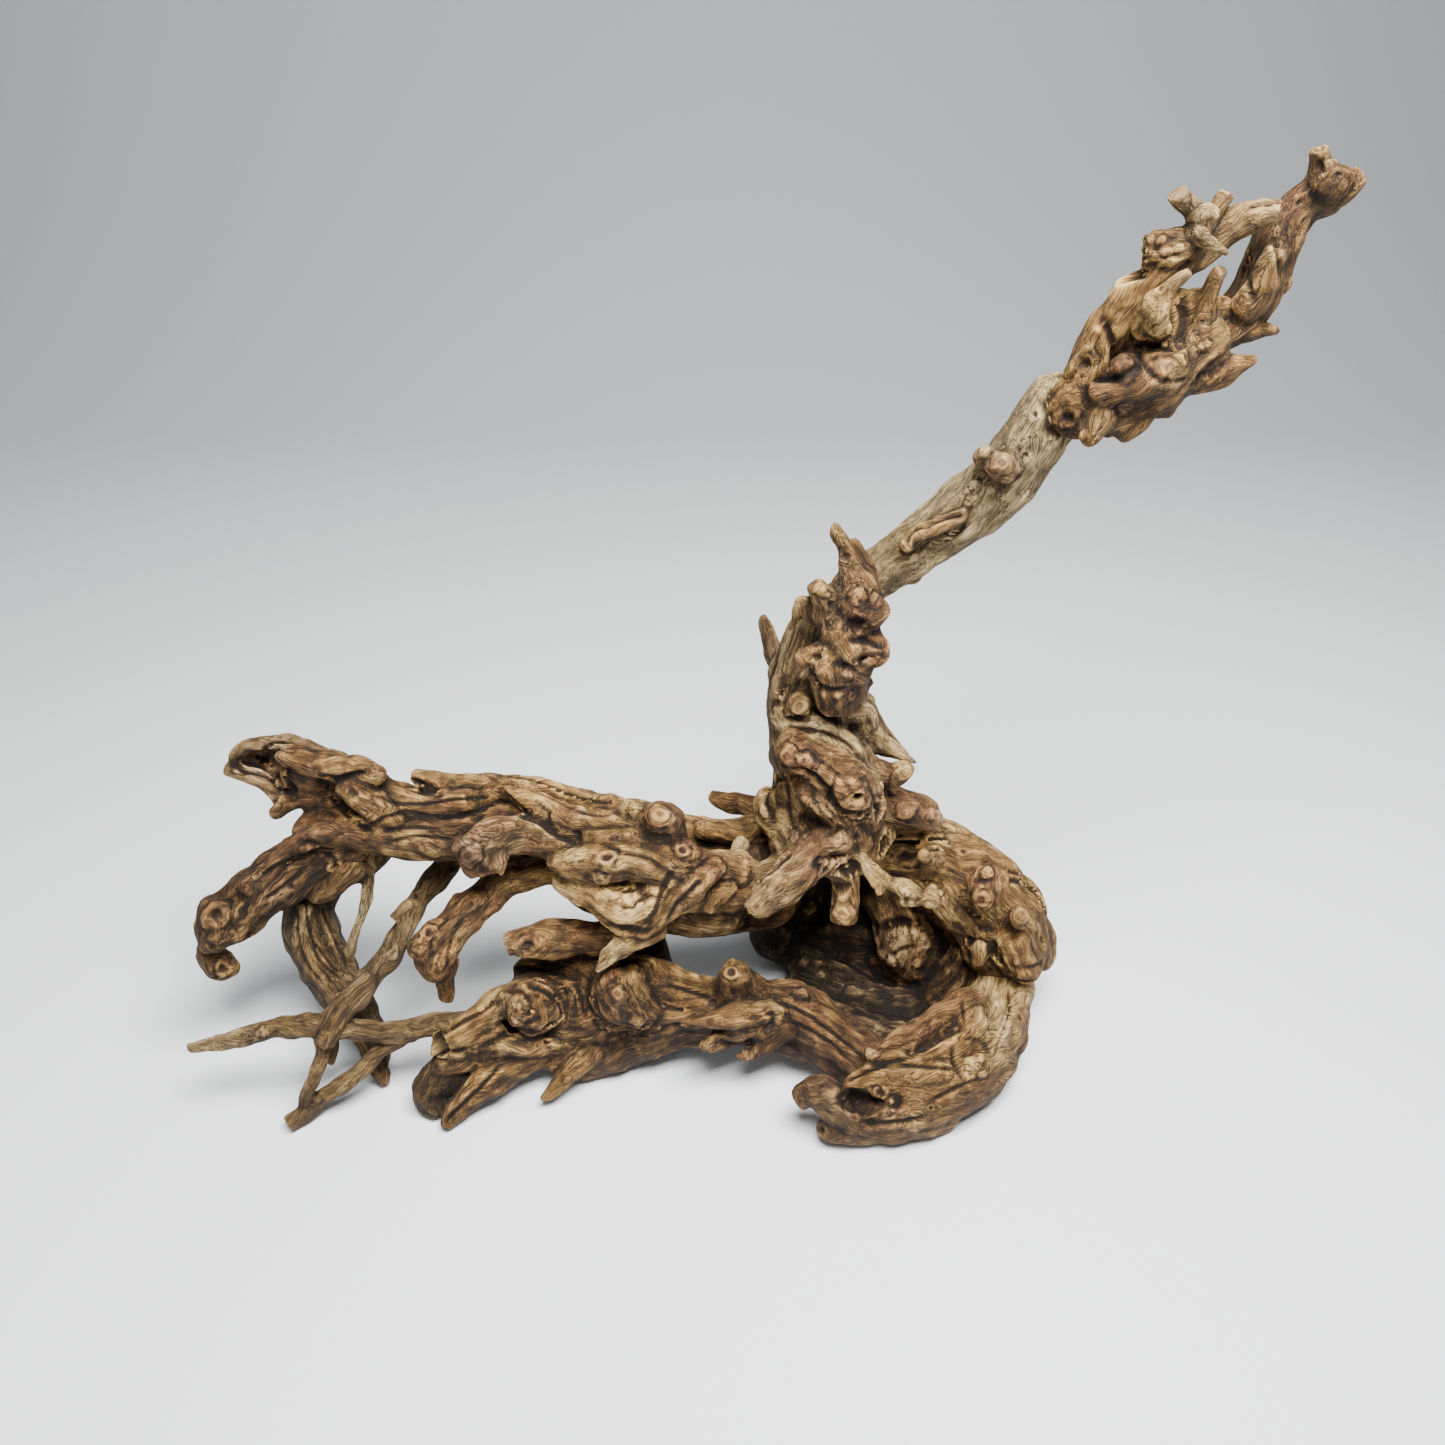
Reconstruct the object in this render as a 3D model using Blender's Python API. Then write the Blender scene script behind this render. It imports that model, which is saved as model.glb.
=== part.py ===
"""Coral wood: a gnarled, branching piece of driftwood that stands on its own roots.

Each limb is a list of points (x, y, z, radius) in drawing millimetres, seen from the front:
x runs to the right, y away from the viewer, z up from the ground. The limbs of one sub-part
are fused into one skin, and every sub-part is then fitted against its neighbours at the fork.
"""
import math

import bmesh
import bpy
import numpy as np
from mathutils import Vector, noise

# Driving dimensions, in metres
SPREAD = 0.417            # from the long stick's tip to the crown's tip
JOINT_GAP = 0.0004        # clearance between two sub-parts at a fork
LUMP_HEIGHT = 0.0011      # how far the weathered lumps stand out
LUMP_WIDTH = 0.013        # width of one weathered lump
FINE_HEIGHT = 0.0005      # the smaller ridges between the lumps
FINE_WIDTH = 0.006

# The drawing's own size, which SPREAD scales to the real one
DRAWN_SPREAD = 417.0
SCALE = SPREAD / DRAWN_SPREAD      # metres to one drawing millimetre
MIDDLE = (-0.3, 4.6)      # the drawing's point that becomes the origin, in drawing millimetres

# Mesh fineness
SKIN_CELL = 0.0017        # cell size of the fused skin
LIMB_STEP = 2.5           # spacing of the points along a limb, in drawing millimetres
LIMB_SIDES = 3            # curve bevel resolution: 10 sides
TIP_LENGTH = 0.45         # a tip's length and end radius, as shares of the limb's radius there
TIP_RADIUS = 0.62
SMOOTH_PASSES = 4
MERGE_DISTANCE = 0.00003   # corners closer than this become one
STEEPEST_OFFSET = 1.6      # how much further than the gap a sharp corner of a cutter may move
GROUND_DEPTH = 0.1         # thickness of the slab that flattens the feet

# Colours of the weathered wood: linear RGB
BROWN = (0.230, 0.135, 0.068)
RED_BROWN = (0.200, 0.110, 0.065)
PALE = (0.370, 0.300, 0.180)
GREY_BROWN = (0.150, 0.115, 0.075)
GREEN_BROWN = (0.170, 0.145, 0.085)
ROUGHNESS = 0.82


def upper_log():
    """The long leaning log, its scoop at the left end and the broad knotted plate in front."""
    return {
        "back strand": [(-166, 19, 123, 7), (-151, 17, 120, 10), (-134, 15, 112, 11), (-115, 15, 104, 11),
                        (-94, 15, 111, 11), (-74, 17, 111, 11), (-54, 19, 103, 11), (-34, 21, 93, 12),
                        (-9, 23, 84, 11), (16, 23, 84, 10), (38, 21, 89, 13)],
        "front strand": [(-162, 5, 103, 6), (-143, 3, 108, 10), (-121, 3, 105, 11), (-98, 3, 103, 11),
                         (-76, 3, 108, 10), (-57, 1, 103, 10), (-37, -1, 94, 12), (-14, -3, 87, 13),
                         (10, -1, 82, 12), (33, 5, 82, 14)],
        "under strand": [(-120, 21, 86, 8), (-95, 21, 83, 9), (-67, 21, 77, 9), (-40, 17, 62, 13),
                         (-14, 15, 57, 14), (11, 13, 56, 12), (34, 15, 58, 11)],
        "shoulder": [(-162, 19, 125, 7), (-144, 13, 130, 6), (-132, 9, 129, 6), (-126, 7, 122, 6),
                     (-112, 5, 117, 6), (-92, 5, 120, 5.5)],
        "top stub": [(-117, 17, 123, 3.5), (-112, 16, 122, 5), (-102, 15, 119, 6), (-86, 15, 117, 6),
                     (-66, 17, 116, 6), (-46, 19, 106, 5)],
        "top ridge": [(-80, 5, 125, 3), (-71, 1, 124, 4), (-55, -1, 118, 5), (-39, -3, 114, 5), (-20, -3, 110, 4)],
        "scoop upper lip": [(-190, 21, 129, 3), (-180, 25, 133, 4), (-167, 25, 133, 4.5), (-155, 23, 127, 5.5),
                            (-143, 19, 122, 7)],
        "scoop lower lip": [(-193, 19, 125, 3), (-183, 19, 121, 4), (-173, 19, 114, 4.5), (-160, 19, 111, 6),
                            (-146, 17, 111, 7)],
        "scoop back": [(-192, 30, 119, 3.5), (-181, 32, 117, 6), (-164, 30, 114, 8)],
        "scoop stub": [(-169, 15, 134, 3), (-162, 15, 132, 4.5), (-152, 15, 128, 6)],
        "left nub": [(-175, 11, 108, 3), (-167, 11, 113, 4), (-158, 11, 116, 5), (-147, 9, 117, 6)],
        "swirl": [(-147, 3, 135, 3.5), (-137, 1, 140, 4), (-129, -1, 136, 3.5), (-135, -3, 130, 4.5),
                  (-138, -5, 124, 5), (-132, -5, 117, 5), (-125, -5, 108, 4)],
        "claw": [(-46, -5, 104, 6), (-60, -7, 110, 7), (-73, -9, 114, 8), (-84, -12, 113, 8),
                 (-88, -14, 105, 7.5), (-86, -15, 99, 5)],
        "claw tip": [(-78, -13, 117, 5), (-87, -15, 116, 4), (-96, -16, 112, 2.5)],
        "claw lip": [(-77, -13, 113, 5), (-80, -15, 104, 4.5), (-81, -16, 99, 3)],
        "plate left": [(-59, -15, 103, 3), (-51, -16, 104, 6), (-39, -16, 105, 8), (-23, -15, 105, 8),
                       (-8, -12, 99, 9)],
        "plate top": [(-43, -9, 111, 4), (-32, -11, 111, 5), (-18, -11, 106, 6), (0, -9, 97, 7), (16, -5, 94, 8)],
        "plate middle": [(-56, -13, 93, 5), (-44, -15, 90, 8), (-32, -17, 86, 10), (-20, -15, 87, 11),
                         (-4, -11, 88, 10)],
        "plate lip": [(-42, -21, 86, 3), (-35, -22, 80, 4), (-24, -21, 77, 4.5), (-15, -19, 78, 4)],
        "brace": [(8, -16, 103, 5), (-1, -20, 97, 5), (-9, -23, 90, 5), (-18, -24, 80, 4), (-22, -24, 76, 3)],
        "spike": [(-15, -17, 72, 5), (-26, -22, 71, 5), (-34, -26, 68, 4.5), (-39, -28, 64, 3.5), (-42, -29, 60, 2)],
        "middle stub": [(-26, -1, 56, 8), (-42, -7, 58, 7.5), (-58, -13, 64, 7), (-70, -16, 65, 6.5),
                        (-79, -18, 63, 5)],
        "middle stub root": [(-42, -11, 55, 4), (-58, -16, 59, 4), (-73, -20, 62, 4)],
        "belly": [(-18, 5, 64, 11), (2, 1, 65, 12), (13, -1, 66, 10)],
        "belly knobs": [(3, -16, 82, 4), (9, -17, 91, 5), (19, -17, 94, 5)],
        "knot on top": [(-15, 5, 100, 7), (-16, -3, 115, 7), (-15, -9, 124, 6)],
        "knot beside it": [(-22, 7, 106, 5), (-26, 3, 117, 5), (-28, 1, 122, 4)],
        "knot below it": [(-4, -5, 97, 6), (-6, -12, 108, 5.5)],
        "saddle": [(0, 15, 98, 5), (14, 15, 94, 5), (29, 15, 94, 5)],
    }


def left_hook():
    """The short limb that drops from the log's left end and turns in at its knob."""
    return {
        "limb": [(-138, 6, 100, 10), (-157, 3, 93, 11), (-170, -1, 86, 12.5), (-182, -5, 78, 12), (-193, -9, 70, 11.5),
                 (-196, -13, 70, 11)],
        "ridge": [(-136, -2, 113, 4), (-156, -5, 108, 4.5), (-169, -9, 99, 4), (-181, -13, 88, 4)],
        "knob": [(-195, -15, 82, 7), (-197, -17, 73, 8), (-198, -16, 64, 8)],
        "tail": [(-204, -13, 61, 5.5), (-202, -15, 54, 6.5), (-198, -16, 48, 6), (-194, -16, 47, 4)],
    }


def twisted_leg():
    """The fluted grey-green root that twists down from under the hook to the ground."""
    return {
        "inner lump": [(-143, 4, 92, 8), (-146, 1, 88, 8), (-153, -1, 81, 7), (-159, -1, 75, 5)],
        "root": [(-132, 8, 92, 6), (-136, 7, 88, 6), (-142, 5, 85, 7), (-152, 5, 82, 7)],
        "leg": [(-150, 11, 88, 8), (-162, 7, 71, 9), (-166, 3, 61, 10), (-166, -1, 50, 10.5), (-161, -6, 40, 11),
                (-152, -13, 30, 10), (-145, -19, 21, 8.5), (-139, -25, 10, 6.5), (-134, -37, 3, 3.5)],
        "flute": [(-164, -3, 71, 4), (-167, -8, 59, 4.5), (-163, -13, 47, 4.5), (-154, -19, 36, 4),
                  (-147, -23, 26, 4)],
    }


def crossing_stick():
    """The dark stick that comes down from under the log and crosses in front of the leg."""
    return {
        "stick": [(-106, 18, 82, 6), (-109, 15, 77, 5.5), (-114, 9, 73, 5.5), (-120, 1, 68, 5), (-124, -9, 63, 5),
                  (-128, -19, 57, 5), (-134, -27, 54, 5), (-140, -35, 49, 6), (-145, -41, 45, 5.5), (-150, -46, 38, 4)],
        "side stub": [(-119, 1, 67, 3.5), (-123, -3, 70, 3), (-127, -7, 67, 2.5)],
    }


def long_stick():
    """The long pale stick near the ground, with its two crossed feet at the left."""
    return {
        "stick": [(-206, -44, 32, 2.5), (-191, -44, 36, 3.5), (-175, -43, 40, 4), (-160, -42, 43, 5),
                  (-145, -40, 39, 5), (-131, -37, 34, 4.5), (-113, -33, 32, 5), (-99, -30, 30, 6), (-88, -27, 28, 6)],
        "foot": [(-122, -34, 30, 4), (-132, -39, 24, 4), (-143, -47, 17, 4), (-157, -51, 7, 4), (-167, -59, 3.5, 4)],
        "crossed foot": [(-152, -42, 38, 3), (-152, -47, 30, 3.5), (-155, -51, 22, 3), (-162, -52, 8, 3)],
        "spur": [(-150, -38, 32, 3), (-152, -39, 25, 3), (-152, -41, 19, 2.5)],
    }


def front_leg():
    """The leg that swings forward from under the plate and hangs over the low log."""
    return {
        "leg": [(-26, 9, 68, 8), (-48, 5, 80, 7), (-66, 3, 84, 7), (-80, -2, 83, 7), (-92, -9, 77, 8.5),
                (-102, -17, 69, 8.5), (-107, -22, 62, 8.5), (-108, -24, 56, 7)],
        "front bulge": [(-89, -11, 83, 4), (-100, -18, 77, 4), (-108, -25, 73, 5.5), (-113, -26, 67, 5)],
        "toe": [(-104, -19, 56, 5), (-105, -23, 46, 4.5), (-106, -25, 39, 3.5)],
    }


def low_log():
    """The thick log along the ground, with its eyes, prongs and spikes."""
    return {
        "core": [(-83, -18, 26, 11), (-67, -15, 26, 16), (-48, -15, 26, 18), (-30, -13, 27, 16), (-9, -19, 29, 12),
                 (12, -21, 30, 12), (33, -21, 29, 12), (51, -28, 25, 12), (64, -39, 21, 12), (74, -48, 20, 11)],
        "top": [(-77, -8, 38, 6), (-60, -7, 40, 7), (-43, -11, 40, 8), (-26, -12, 42, 9), (-15, -17, 40, 8),
                (2, -19, 38, 6), (25, -20, 36, 7), (42, -19, 33, 8), (57, -28, 28, 7)],
        "base": [(-77, -26, 16, 8), (-55, -28, 11, 11), (-35, -24, 11, 11), (-9, -23, 20, 8), (16, -26, 24, 8),
                 (42, -27, 18, 8), (58, -37, 14, 8)],
        "bridge": [(-27, 10, 50, 10), (-25, 9, 36, 10), (-24, 5, 24, 12), (-23, 1, 12, 12)],
        "bridge left": [(-46, 8, 46, 7), (-48, 7, 37, 8), (-47, 3, 26, 11)],
        "upper prong": [(-68, -15, 37, 7), (-81, -25, 39, 7), (-91, -33, 37, 6.5), (-99, -39, 34, 5),
                        (-103, -41, 33, 3)],
        "middle prong": [(-83, -33, 28, 6), (-97, -39, 28, 5), (-111, -41, 31, 4)],
        "lower prong": [(-85, -37, 23, 5), (-98, -42, 21, 4), (-107, -44, 21, 3.5)],
        "stump": [(-92, -27, 20, 8), (-104, -38, 13, 8), (-110, -48, 13, 7), (-112, -52, 7, 5.5), (-109, -56, 4, 4)],
        "fang": [(-65, -29, 20, 8), (-80, -39, 15, 8), (-91, -47, 11, 7), (-100, -55, 7, 5), (-104, -60, 4, 2.5)],
        "small fang": [(-46, -32, 16, 5.5), (-56, -41, 11, 5), (-62, -45, 7, 3.5), (-66, -48, 4, 2)],
        "low lobe": [(-53, -29, 17, 5), (-67, -35, 23, 4.5), (-79, -39, 26, 4.5), (-84, -40, 25, 3)],
        "big eye": [(-68, -29, 38, 10), (-72, -36, 41, 9)],
        "round knob": [(-31, -23, 43, 11), (-32, -30, 44, 12), (-28, -30, 36, 9)],
        "drape": [(-57, -29, 52, 5), (-51, -33, 46, 5), (-53, -35, 32, 5), (-55, -35, 22, 3)],
        "holed stub": [(12, -19, 35, 8), (14, -23, 49, 7), (14, -25, 56, 6)],
        "holed stub tip": [(23, -21, 41, 6), (20, -23, 51, 4), (18, -24, 59, 2)],
        "upper jaw": [(31, -29, 35, 6), (16, -33, 38, 5.5), (4, -36, 40, 4), (-6, -37, 39, 2)],
        "lower jaw": [(29, -31, 31, 6), (15, -35, 30, 5), (5, -38, 27, 4), (1, -39, 27, 2.5)],
        "jaw stub": [(35, -31, 30, 6), (28, -35, 25, 5), (20, -38, 20, 3.5), (15, -39, 19, 2)],
    }


def base_bend():
    """The heavy bend that turns forward along the ground, with its open front lip."""
    return {
        "rise": [(130, 13, 44, 11), (132, 9, 32, 12), (133, 2, 22, 13), (127, -11, 19, 14), (116, -30, 19, 15)],
        "bend": [(133, -2, 20, 12), (125, -22, 18, 14), (111, -40, 17, 16), (93, -52, 16, 15), (76, -57, 16, 14),
                 (65, -58, 15, 11)],
        "foot": [(121, -26, 9, 10), (102, -48, 9, 11), (84, -60, 9, 10), (68, -62, 9, 8.5), (56, -63, 8, 7)],
        "inner": [(111, -16, 30, 8), (110, -30, 30, 8.5), (101, -41, 30, 7.5), (82, -47, 30, 6.5), (68, -47, 29, 6)],
        "knob": [(112, -37, 26, 7), (112, -44, 23, 7.5), (113, -47, 21, 5)],
        "inner stick": [(114, -20, 36, 6), (98, -31, 36, 5), (84, -40, 35, 5), (71, -45, 33, 4)],
        "upper lip": [(58, -58, 26, 3), (68, -55, 27, 5), (81, -56, 27, 6), (96, -53, 27, 6.5)],
        "lower lip": [(61, -65, 10, 4), (72, -66, 10, 4.5), (84, -64, 11, 5)],
        "toe": [(66, -64, 12, 6), (58, -63, 16, 6), (50, -58, 20, 6), (43, -57, 22, 5)],
        "low toe": [(60, -64, 9, 5), (50, -64, 8, 5), (46, -64, 6, 4)],
        "toe nub": [(45, -55, 22, 4), (40, -57, 20, 3.5), (42, -59, 16, 3)],
    }


def right_flank():
    """The knobbly limb that falls from the heart to the bend on the right."""
    return {
        "crest": [(66, 20, 108, 10), (85, 21, 102, 9.5), (95, 19, 102, 7.5)],
        "crest lobe": [(72, 12, 108, 6), (83, 7, 112, 6), (92, 7, 109, 6), (95, 7, 107, 5)],
        "limb": [(64, 24, 84, 14), (74, 27, 79, 14), (89, 29, 76, 15), (105, 25, 71, 16.5), (121, 19, 63, 18),
                 (134, 13, 51, 17), (141, 7, 40, 12), (144, 5, 31, 9)],
        "ridge": [(91, 31, 89, 7), (108, 29, 83, 6), (123, 25, 71, 6), (139, 21, 57, 6), (149, 15, 45, 5.5),
                  (151, 9, 35, 5), (149, 5, 28, 4.5)],
        "under side": [(94, 17, 68, 8.5), (107, 11, 60, 9), (115, 7, 50, 8.5), (123, 3, 36, 8), (132, -1, 31, 6)],
        "lip": [(131, -5, 47, 6), (135, -7, 40, 6), (142, -5, 34, 5)],
        "inner wall": [(96, 26, 64, 12), (110, 25, 46, 11), (120, 18, 28, 10), (122, 10, 20, 9)],
        "knob": [(117, 1, 85, 7), (117, -3, 79, 7), (118, -3, 73, 5)],
        "nub": [(132, -6, 67, 6), (131, -11, 74, 3.5)],
        "wart": [(97, 7, 88, 6), (93, 3, 93, 4)],
        "drop": [(118, -1, 52, 5), (118, -5, 47, 5), (117, -7, 42, 3)],
    }


def back_root():
    """The wall and floor of the hollow, and the two roots that stand behind it."""
    return {
        "wall": [(58, 34, 100, 14), (64, 46, 78, 18), (70, 54, 48, 20), (74, 52, 18, 18)],
        "left wall": [(46, 36, 84, 12), (44, 40, 52, 14), (39, 42, 28, 16), (37, 38, 11, 15)],
        "rotted fill": [(38, 37, 14, 13), (58, 37, 14, 14), (74, 38, 14, 14)],
        "bulb": [(84, 40, 44, 13), (93, 31, 29, 16), (92, 28, 18, 17), (88, 30, 10, 13)],
        "floor": [(108, 22, 5, 9), (96, 9, 6, 11), (80, 5, 7, 12), (62, 8, 9, 12), (46, 20, 11, 13)],
        "rear foot": [(76, 56, 32, 16), (84, 66, 15, 13), (90, 73, 5, 9)],
        "second foot": [(44, 44, 34, 13), (38, 60, 12, 10), (35, 69, 4.5, 7)],
    }


def heart():
    """The knotted middle where log, neck and flank meet, with its stubs over the hollow."""
    return {
        "core": [(42, 17, 128, 14), (46, 15, 112, 18), (50, 11, 102, 19), (52, 9, 91, 16)],
        "right": [(57, 15, 122, 12), (65, 13, 108, 13), (67, 11, 94, 12), (66, 11, 83, 8)],
        "left": [(26, 9, 122, 4), (27, 7, 112, 6), (35, 5, 107, 10), (41, 3, 96, 11)],
        "back": [(50, 24, 108, 16), (52, 28, 92, 15)],
        "socket rim": [(17, 5, 100, 3.5), (15, -1, 96, 4), (23, -3, 90, 4.5), (33, -3, 94, 5.5), (40, -3, 105, 6)],
        "socket floor": [(21, 15, 90, 7), (28, 15, 85, 8), (36, 15, 87, 8)],
        "upper fold": [(35, 5, 146, 5.5), (51, 3, 139, 7), (62, 1, 127, 7), (69, 3, 111, 6)],
        "lower fold": [(39, -7, 133, 5), (50, -9, 124, 6), (60, -7, 111, 6), (65, -5, 101, 5)],
        "eye": [(59, -1, 118, 6), (60, -7, 130, 5.5)],
        "root stub": [(55, -5, 109, 8.5), (43, -13, 103, 8.5), (31, -21, 97, 8), (21, -27, 91, 6.5)],
        "root stub bark": [(48, -11, 101, 5.5), (34, -18, 92, 5), (22, -23, 91, 4.5)],
        "root heel": [(48, -15, 106, 5), (45, -17, 101, 3.5), (44, -18, 98, 2)],
        "hanging stub": [(57, -3, 99, 5.5), (59, -9, 88, 5.5), (59, -12, 79, 5.5), (59, -13, 72, 4.5)],
        "short stub": [(55, -9, 99, 5), (54, -14, 95, 4.5)],
        "zigzag": [(62, -5, 101, 4), (68, -12, 98, 4), (74, -15, 94, 4), (81, -17, 93, 4), (88, -19, 90, 3.5),
                   (93, -21, 88, 3)],
        "zigzag nub": [(82, -17, 91, 3.5), (82, -19, 86, 3)],
        "shoulder knob": [(72, 13, 128, 6), (66, 9, 134, 5.5), (65, 9, 138, 4)],
        "shoulder nub": [(75, 15, 123, 5), (80, 11, 129, 5), (83, 11, 132, 3.5)],
        "rear stub": [(34, 34, 90, 6), (19, 43, 88, 5.5), (8, 48, 88, 4.5), (3, 50, 89, 3)],
    }


def neck():
    """The pale trunk that rises from the heart, wrapped in dark knotted growth."""
    return {
        "trunk": [(46, 21, 124, 17), (43, 23, 134, 16), (41, 25, 147, 14), (40, 27, 160, 13), (42, 29, 172, 12),
                  (48, 31, 186, 11), (57, 32, 196, 10), (66, 33, 204, 10)],
        "band": [(32, 13, 151, 5), (45, 7, 153, 6), (56, 7, 146, 6), (67, 9, 131, 5.5)],
        "low fold": [(36, 7, 135, 7), (39, 3, 145, 8), (43, 3, 149, 7)],
        "wrap": [(29, 15, 155, 4.5), (39, 7, 149, 5), (55, 4, 140, 6), (68, 5, 126, 5.5)],
        "side": [(61, 21, 154, 8.5), (64, 19, 145, 8), (69, 17, 138, 5.5)],
        "low growth": [(53, 7, 165, 8), (51, 3, 176, 9), (47, 1, 185, 8), (42, 1, 188, 5.5), (38, 0, 187, 4)],
        "middle growth": [(57, 7, 169, 7.5), (57, 3, 182, 7.5), (52, 3, 193, 6), (50, 1, 199, 4.5)],
        "open snout": [(60, 9, 190, 8), (63, 3, 189, 7), (64, -1, 188, 5.5)],
        "top growth": [(56, 13, 187, 7.5), (57, 11, 199, 9.5), (58, 11, 207, 9.5), (56, 13, 213, 7)],
        "brow": [(61, 5, 201, 6), (65, 4, 204, 5), (65, 5, 207, 3.5)],
        "left lobe": [(48, 9, 202, 6), (45, 7, 209, 5), (41, 7, 214, 4)],
        "horn": [(60, 15, 206, 6), (57, 14, 215, 5), (52, 13, 224, 3.5), (48, 12, 232, 2.5), (47, 12, 234, 1.5)],
        "second horn": [(63, 19, 207, 4.5), (60, 19, 215, 4), (56, 18, 225, 2)],
        "hooked nub": [(49, 13, 194, 4), (41, 11, 200, 3.5), (37, 10, 204, 3), (35, 13, 195, 2), (33, 15, 190, 1.5)],
        "side stub": [(36, 31, 158, 5), (33, 35, 163, 4), (29, 39, 169, 4), (27, 42, 175, 3.5), (25, 44, 182, 2.5)],
        "ring knot": [(39, 14, 158, 5), (38, 8, 163, 5)],
        "beak": [(58, 9, 170, 3.5), (63, 7, 172, 2.5), (66, 6, 173, 1.5)],
        "chin": [(56, 9, 160, 6), (63, 13, 156, 5), (66, 15, 150, 4.5)],
        "splinter": [(62, 19, 145, 5.5), (65, 19, 141, 5.5), (74, 17, 138, 4.5), (81, 15, 134, 3.5), (86, 14, 131, 1.5)],
        "rear splinter": [(64, 24, 148, 6), (67, 25, 144, 6), (74, 25, 137, 5), (80, 24, 131, 3)],
    }


def arm():
    """The smooth pale arm that reaches up to the right."""
    return {
        "arm": [(58, 33, 196, 9.5), (69, 33, 207, 10), (86, 32, 221, 11), (96, 30, 230, 11.5), (108, 28, 243, 12.5),
                (114, 27, 253, 12.5), (119, 25, 265, 11.5), (125, 24, 275, 12)],
        "knot": [(106, 15, 253, 6), (103, 12, 256, 5.5)],
        "nub": [(100, 20, 255, 4.5), (99, 17, 257, 4.5), (99, 16, 259, 4)],
        "sliver": [(75, 21, 221, 3), (81, 19, 228, 3.5), (89, 18, 233, 3), (94, 17, 236, 2.5)],
    }


def crown():
    """The knotted head of the arm, with two spears that point to the right."""
    return {
        "core": [(123, 23, 270, 10), (135, 18, 277, 13), (146, 16, 284, 14.5), (157, 16, 291, 13), (166, 17, 297, 10)],
        "low side": [(128, 15, 269, 5.5), (136, 11, 271, 6), (146, 10, 277, 6), (157, 11, 282, 6)],
        "face": [(123, 7, 279, 5), (130, 3, 284, 5.5), (141, 2, 290, 6.5), (154, 4, 293, 6.5)],
        "web": [(151, 15, 299, 8.5), (161, 17, 305, 6.5), (172, 20, 306, 3.5)],
        "inner web": [(140, 15, 296, 6.5), (148, 14, 304, 6.5), (156, 15, 308, 5.5)],
        "long spear": [(153, 15, 284, 7), (165, 14, 285, 5), (174, 13, 288, 4), (181, 13, 290, 2)],
        "short spear": [(172, 21, 298, 7), (181, 21, 299, 5), (187, 21, 299, 3), (191, 21, 297, 2)],
        "pale knot": [(144, 8, 301, 6.5), (141, 2, 309, 6), (139, -2, 314, 5.5)],
        "pale limb": [(140, 1, 312, 4.5), (145, -1, 317, 3.5), (148, -2, 322, 3)],
        "dark stub": [(161, 13, 302, 4.5), (161, 11, 311, 3.5), (162, 9, 317, 3), (163, 8, 319, 3)],
        "left lobe": [(132, 7, 273, 5), (130, 5, 270, 4)],
        "middle lobe": [(146, 13, 273, 5), (145, 13, 269, 4)],
        "knob": [(137, 5, 292, 5.5), (138, 1, 293, 4.5)],
    }


def left_prong():
    """The crown's left prong, with bark at its knee and sawn stubs on top."""
    return {
        "prong": [(131, 19, 284, 8), (133, 16, 296, 6.5), (137, 14, 305, 5.5), (140, 13, 314, 5.5), (144, 13, 320, 6.5)],
        "bark lump": [(140, 11, 324, 5.5), (146, 11, 324, 6), (153, 12, 325, 5)],
        "knee": [(148, 14, 316, 6), (154, 13, 322, 4.5), (155, 11, 329, 4), (152, 10, 333, 3.5)],
        "first sawn stub": [(154, 10, 330, 3), (150, 8, 336, 3), (143, 5, 342, 3.5)],
        "second sawn stub": [(156, 12, 330, 3), (159, 13, 336, 2.5), (161, 14, 340, 3)],
        "nub": [(150, 6, 335, 2.5), (153, 3, 336, 2.5), (155, 2, 335, 2)],
        "twig": [(150, 5, 331, 2.5), (155, 4, 328, 2.5), (160, 3, 326, 2), (162, 3, 324, 1.5)],
        "bridge": [(156, 14, 320, 5), (161, 15, 325, 4.5), (165, 15, 331, 5), (170, 15, 333, 5), (175, 14, 336, 4),
                   (178, 13, 336, 3.5)],
    }


def right_prong():
    """The crown's right prong, which ends in three short lobes."""
    return {
        "prong": [(163, 19, 294, 8.5), (168, 21, 295, 8.5), (177, 23, 301, 8), (182, 24, 310, 8), (184, 25, 318, 8),
                  (185, 25, 326, 7), (189, 25, 333, 7), (195, 25, 339, 7), (198, 25, 343, 6)],
        "side": [(176, 19, 305, 5), (180, 17, 314, 4.5), (182, 17, 322, 4)],
        "upper lobe": [(193, 24, 341, 4.5), (192, 23, 346, 4), (190, 23, 351, 3.5)],
        "bark lobe": [(195, 21, 343, 5), (196, 19, 346, 4)],
        "outer lobe": [(195, 25, 337, 4.5), (202, 25, 340, 3.5), (207, 25, 344, 2.5)],
        "low lobe": [(189, 27, 328, 4.5), (196, 28, 333, 4), (204, 29, 335, 2)],
    }


# Sub-parts in the order that they are fitted: a later one gives way to an earlier one at the fork.
# Each has its limbs, its colour and its share of the facets.
SUBPARTS = {
    "heart": (heart, BROWN, 880),
    "upper_log": (upper_log, BROWN, 1380),
    "low_log": (low_log, BROWN, 1120),
    "neck": (neck, RED_BROWN, 920),
    "arm": (arm, PALE, 260),
    "crown": (crown, RED_BROWN, 460),
    "left_prong": (left_prong, BROWN, 300),
    "right_prong": (right_prong, RED_BROWN, 220),
    "right_flank": (right_flank, BROWN, 480),
    "base_bend": (base_bend, BROWN, 440),
    "back_root": (back_root, GREY_BROWN, 290),
    "front_leg": (front_leg, BROWN, 190),
    "left_hook": (left_hook, BROWN, 200),
    "twisted_leg": (twisted_leg, GREEN_BROWN, 200),
    "crossing_stick": (crossing_stick, GREY_BROWN, 110),
    "long_stick": (long_stick, GREY_BROWN, 200),
}


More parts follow.
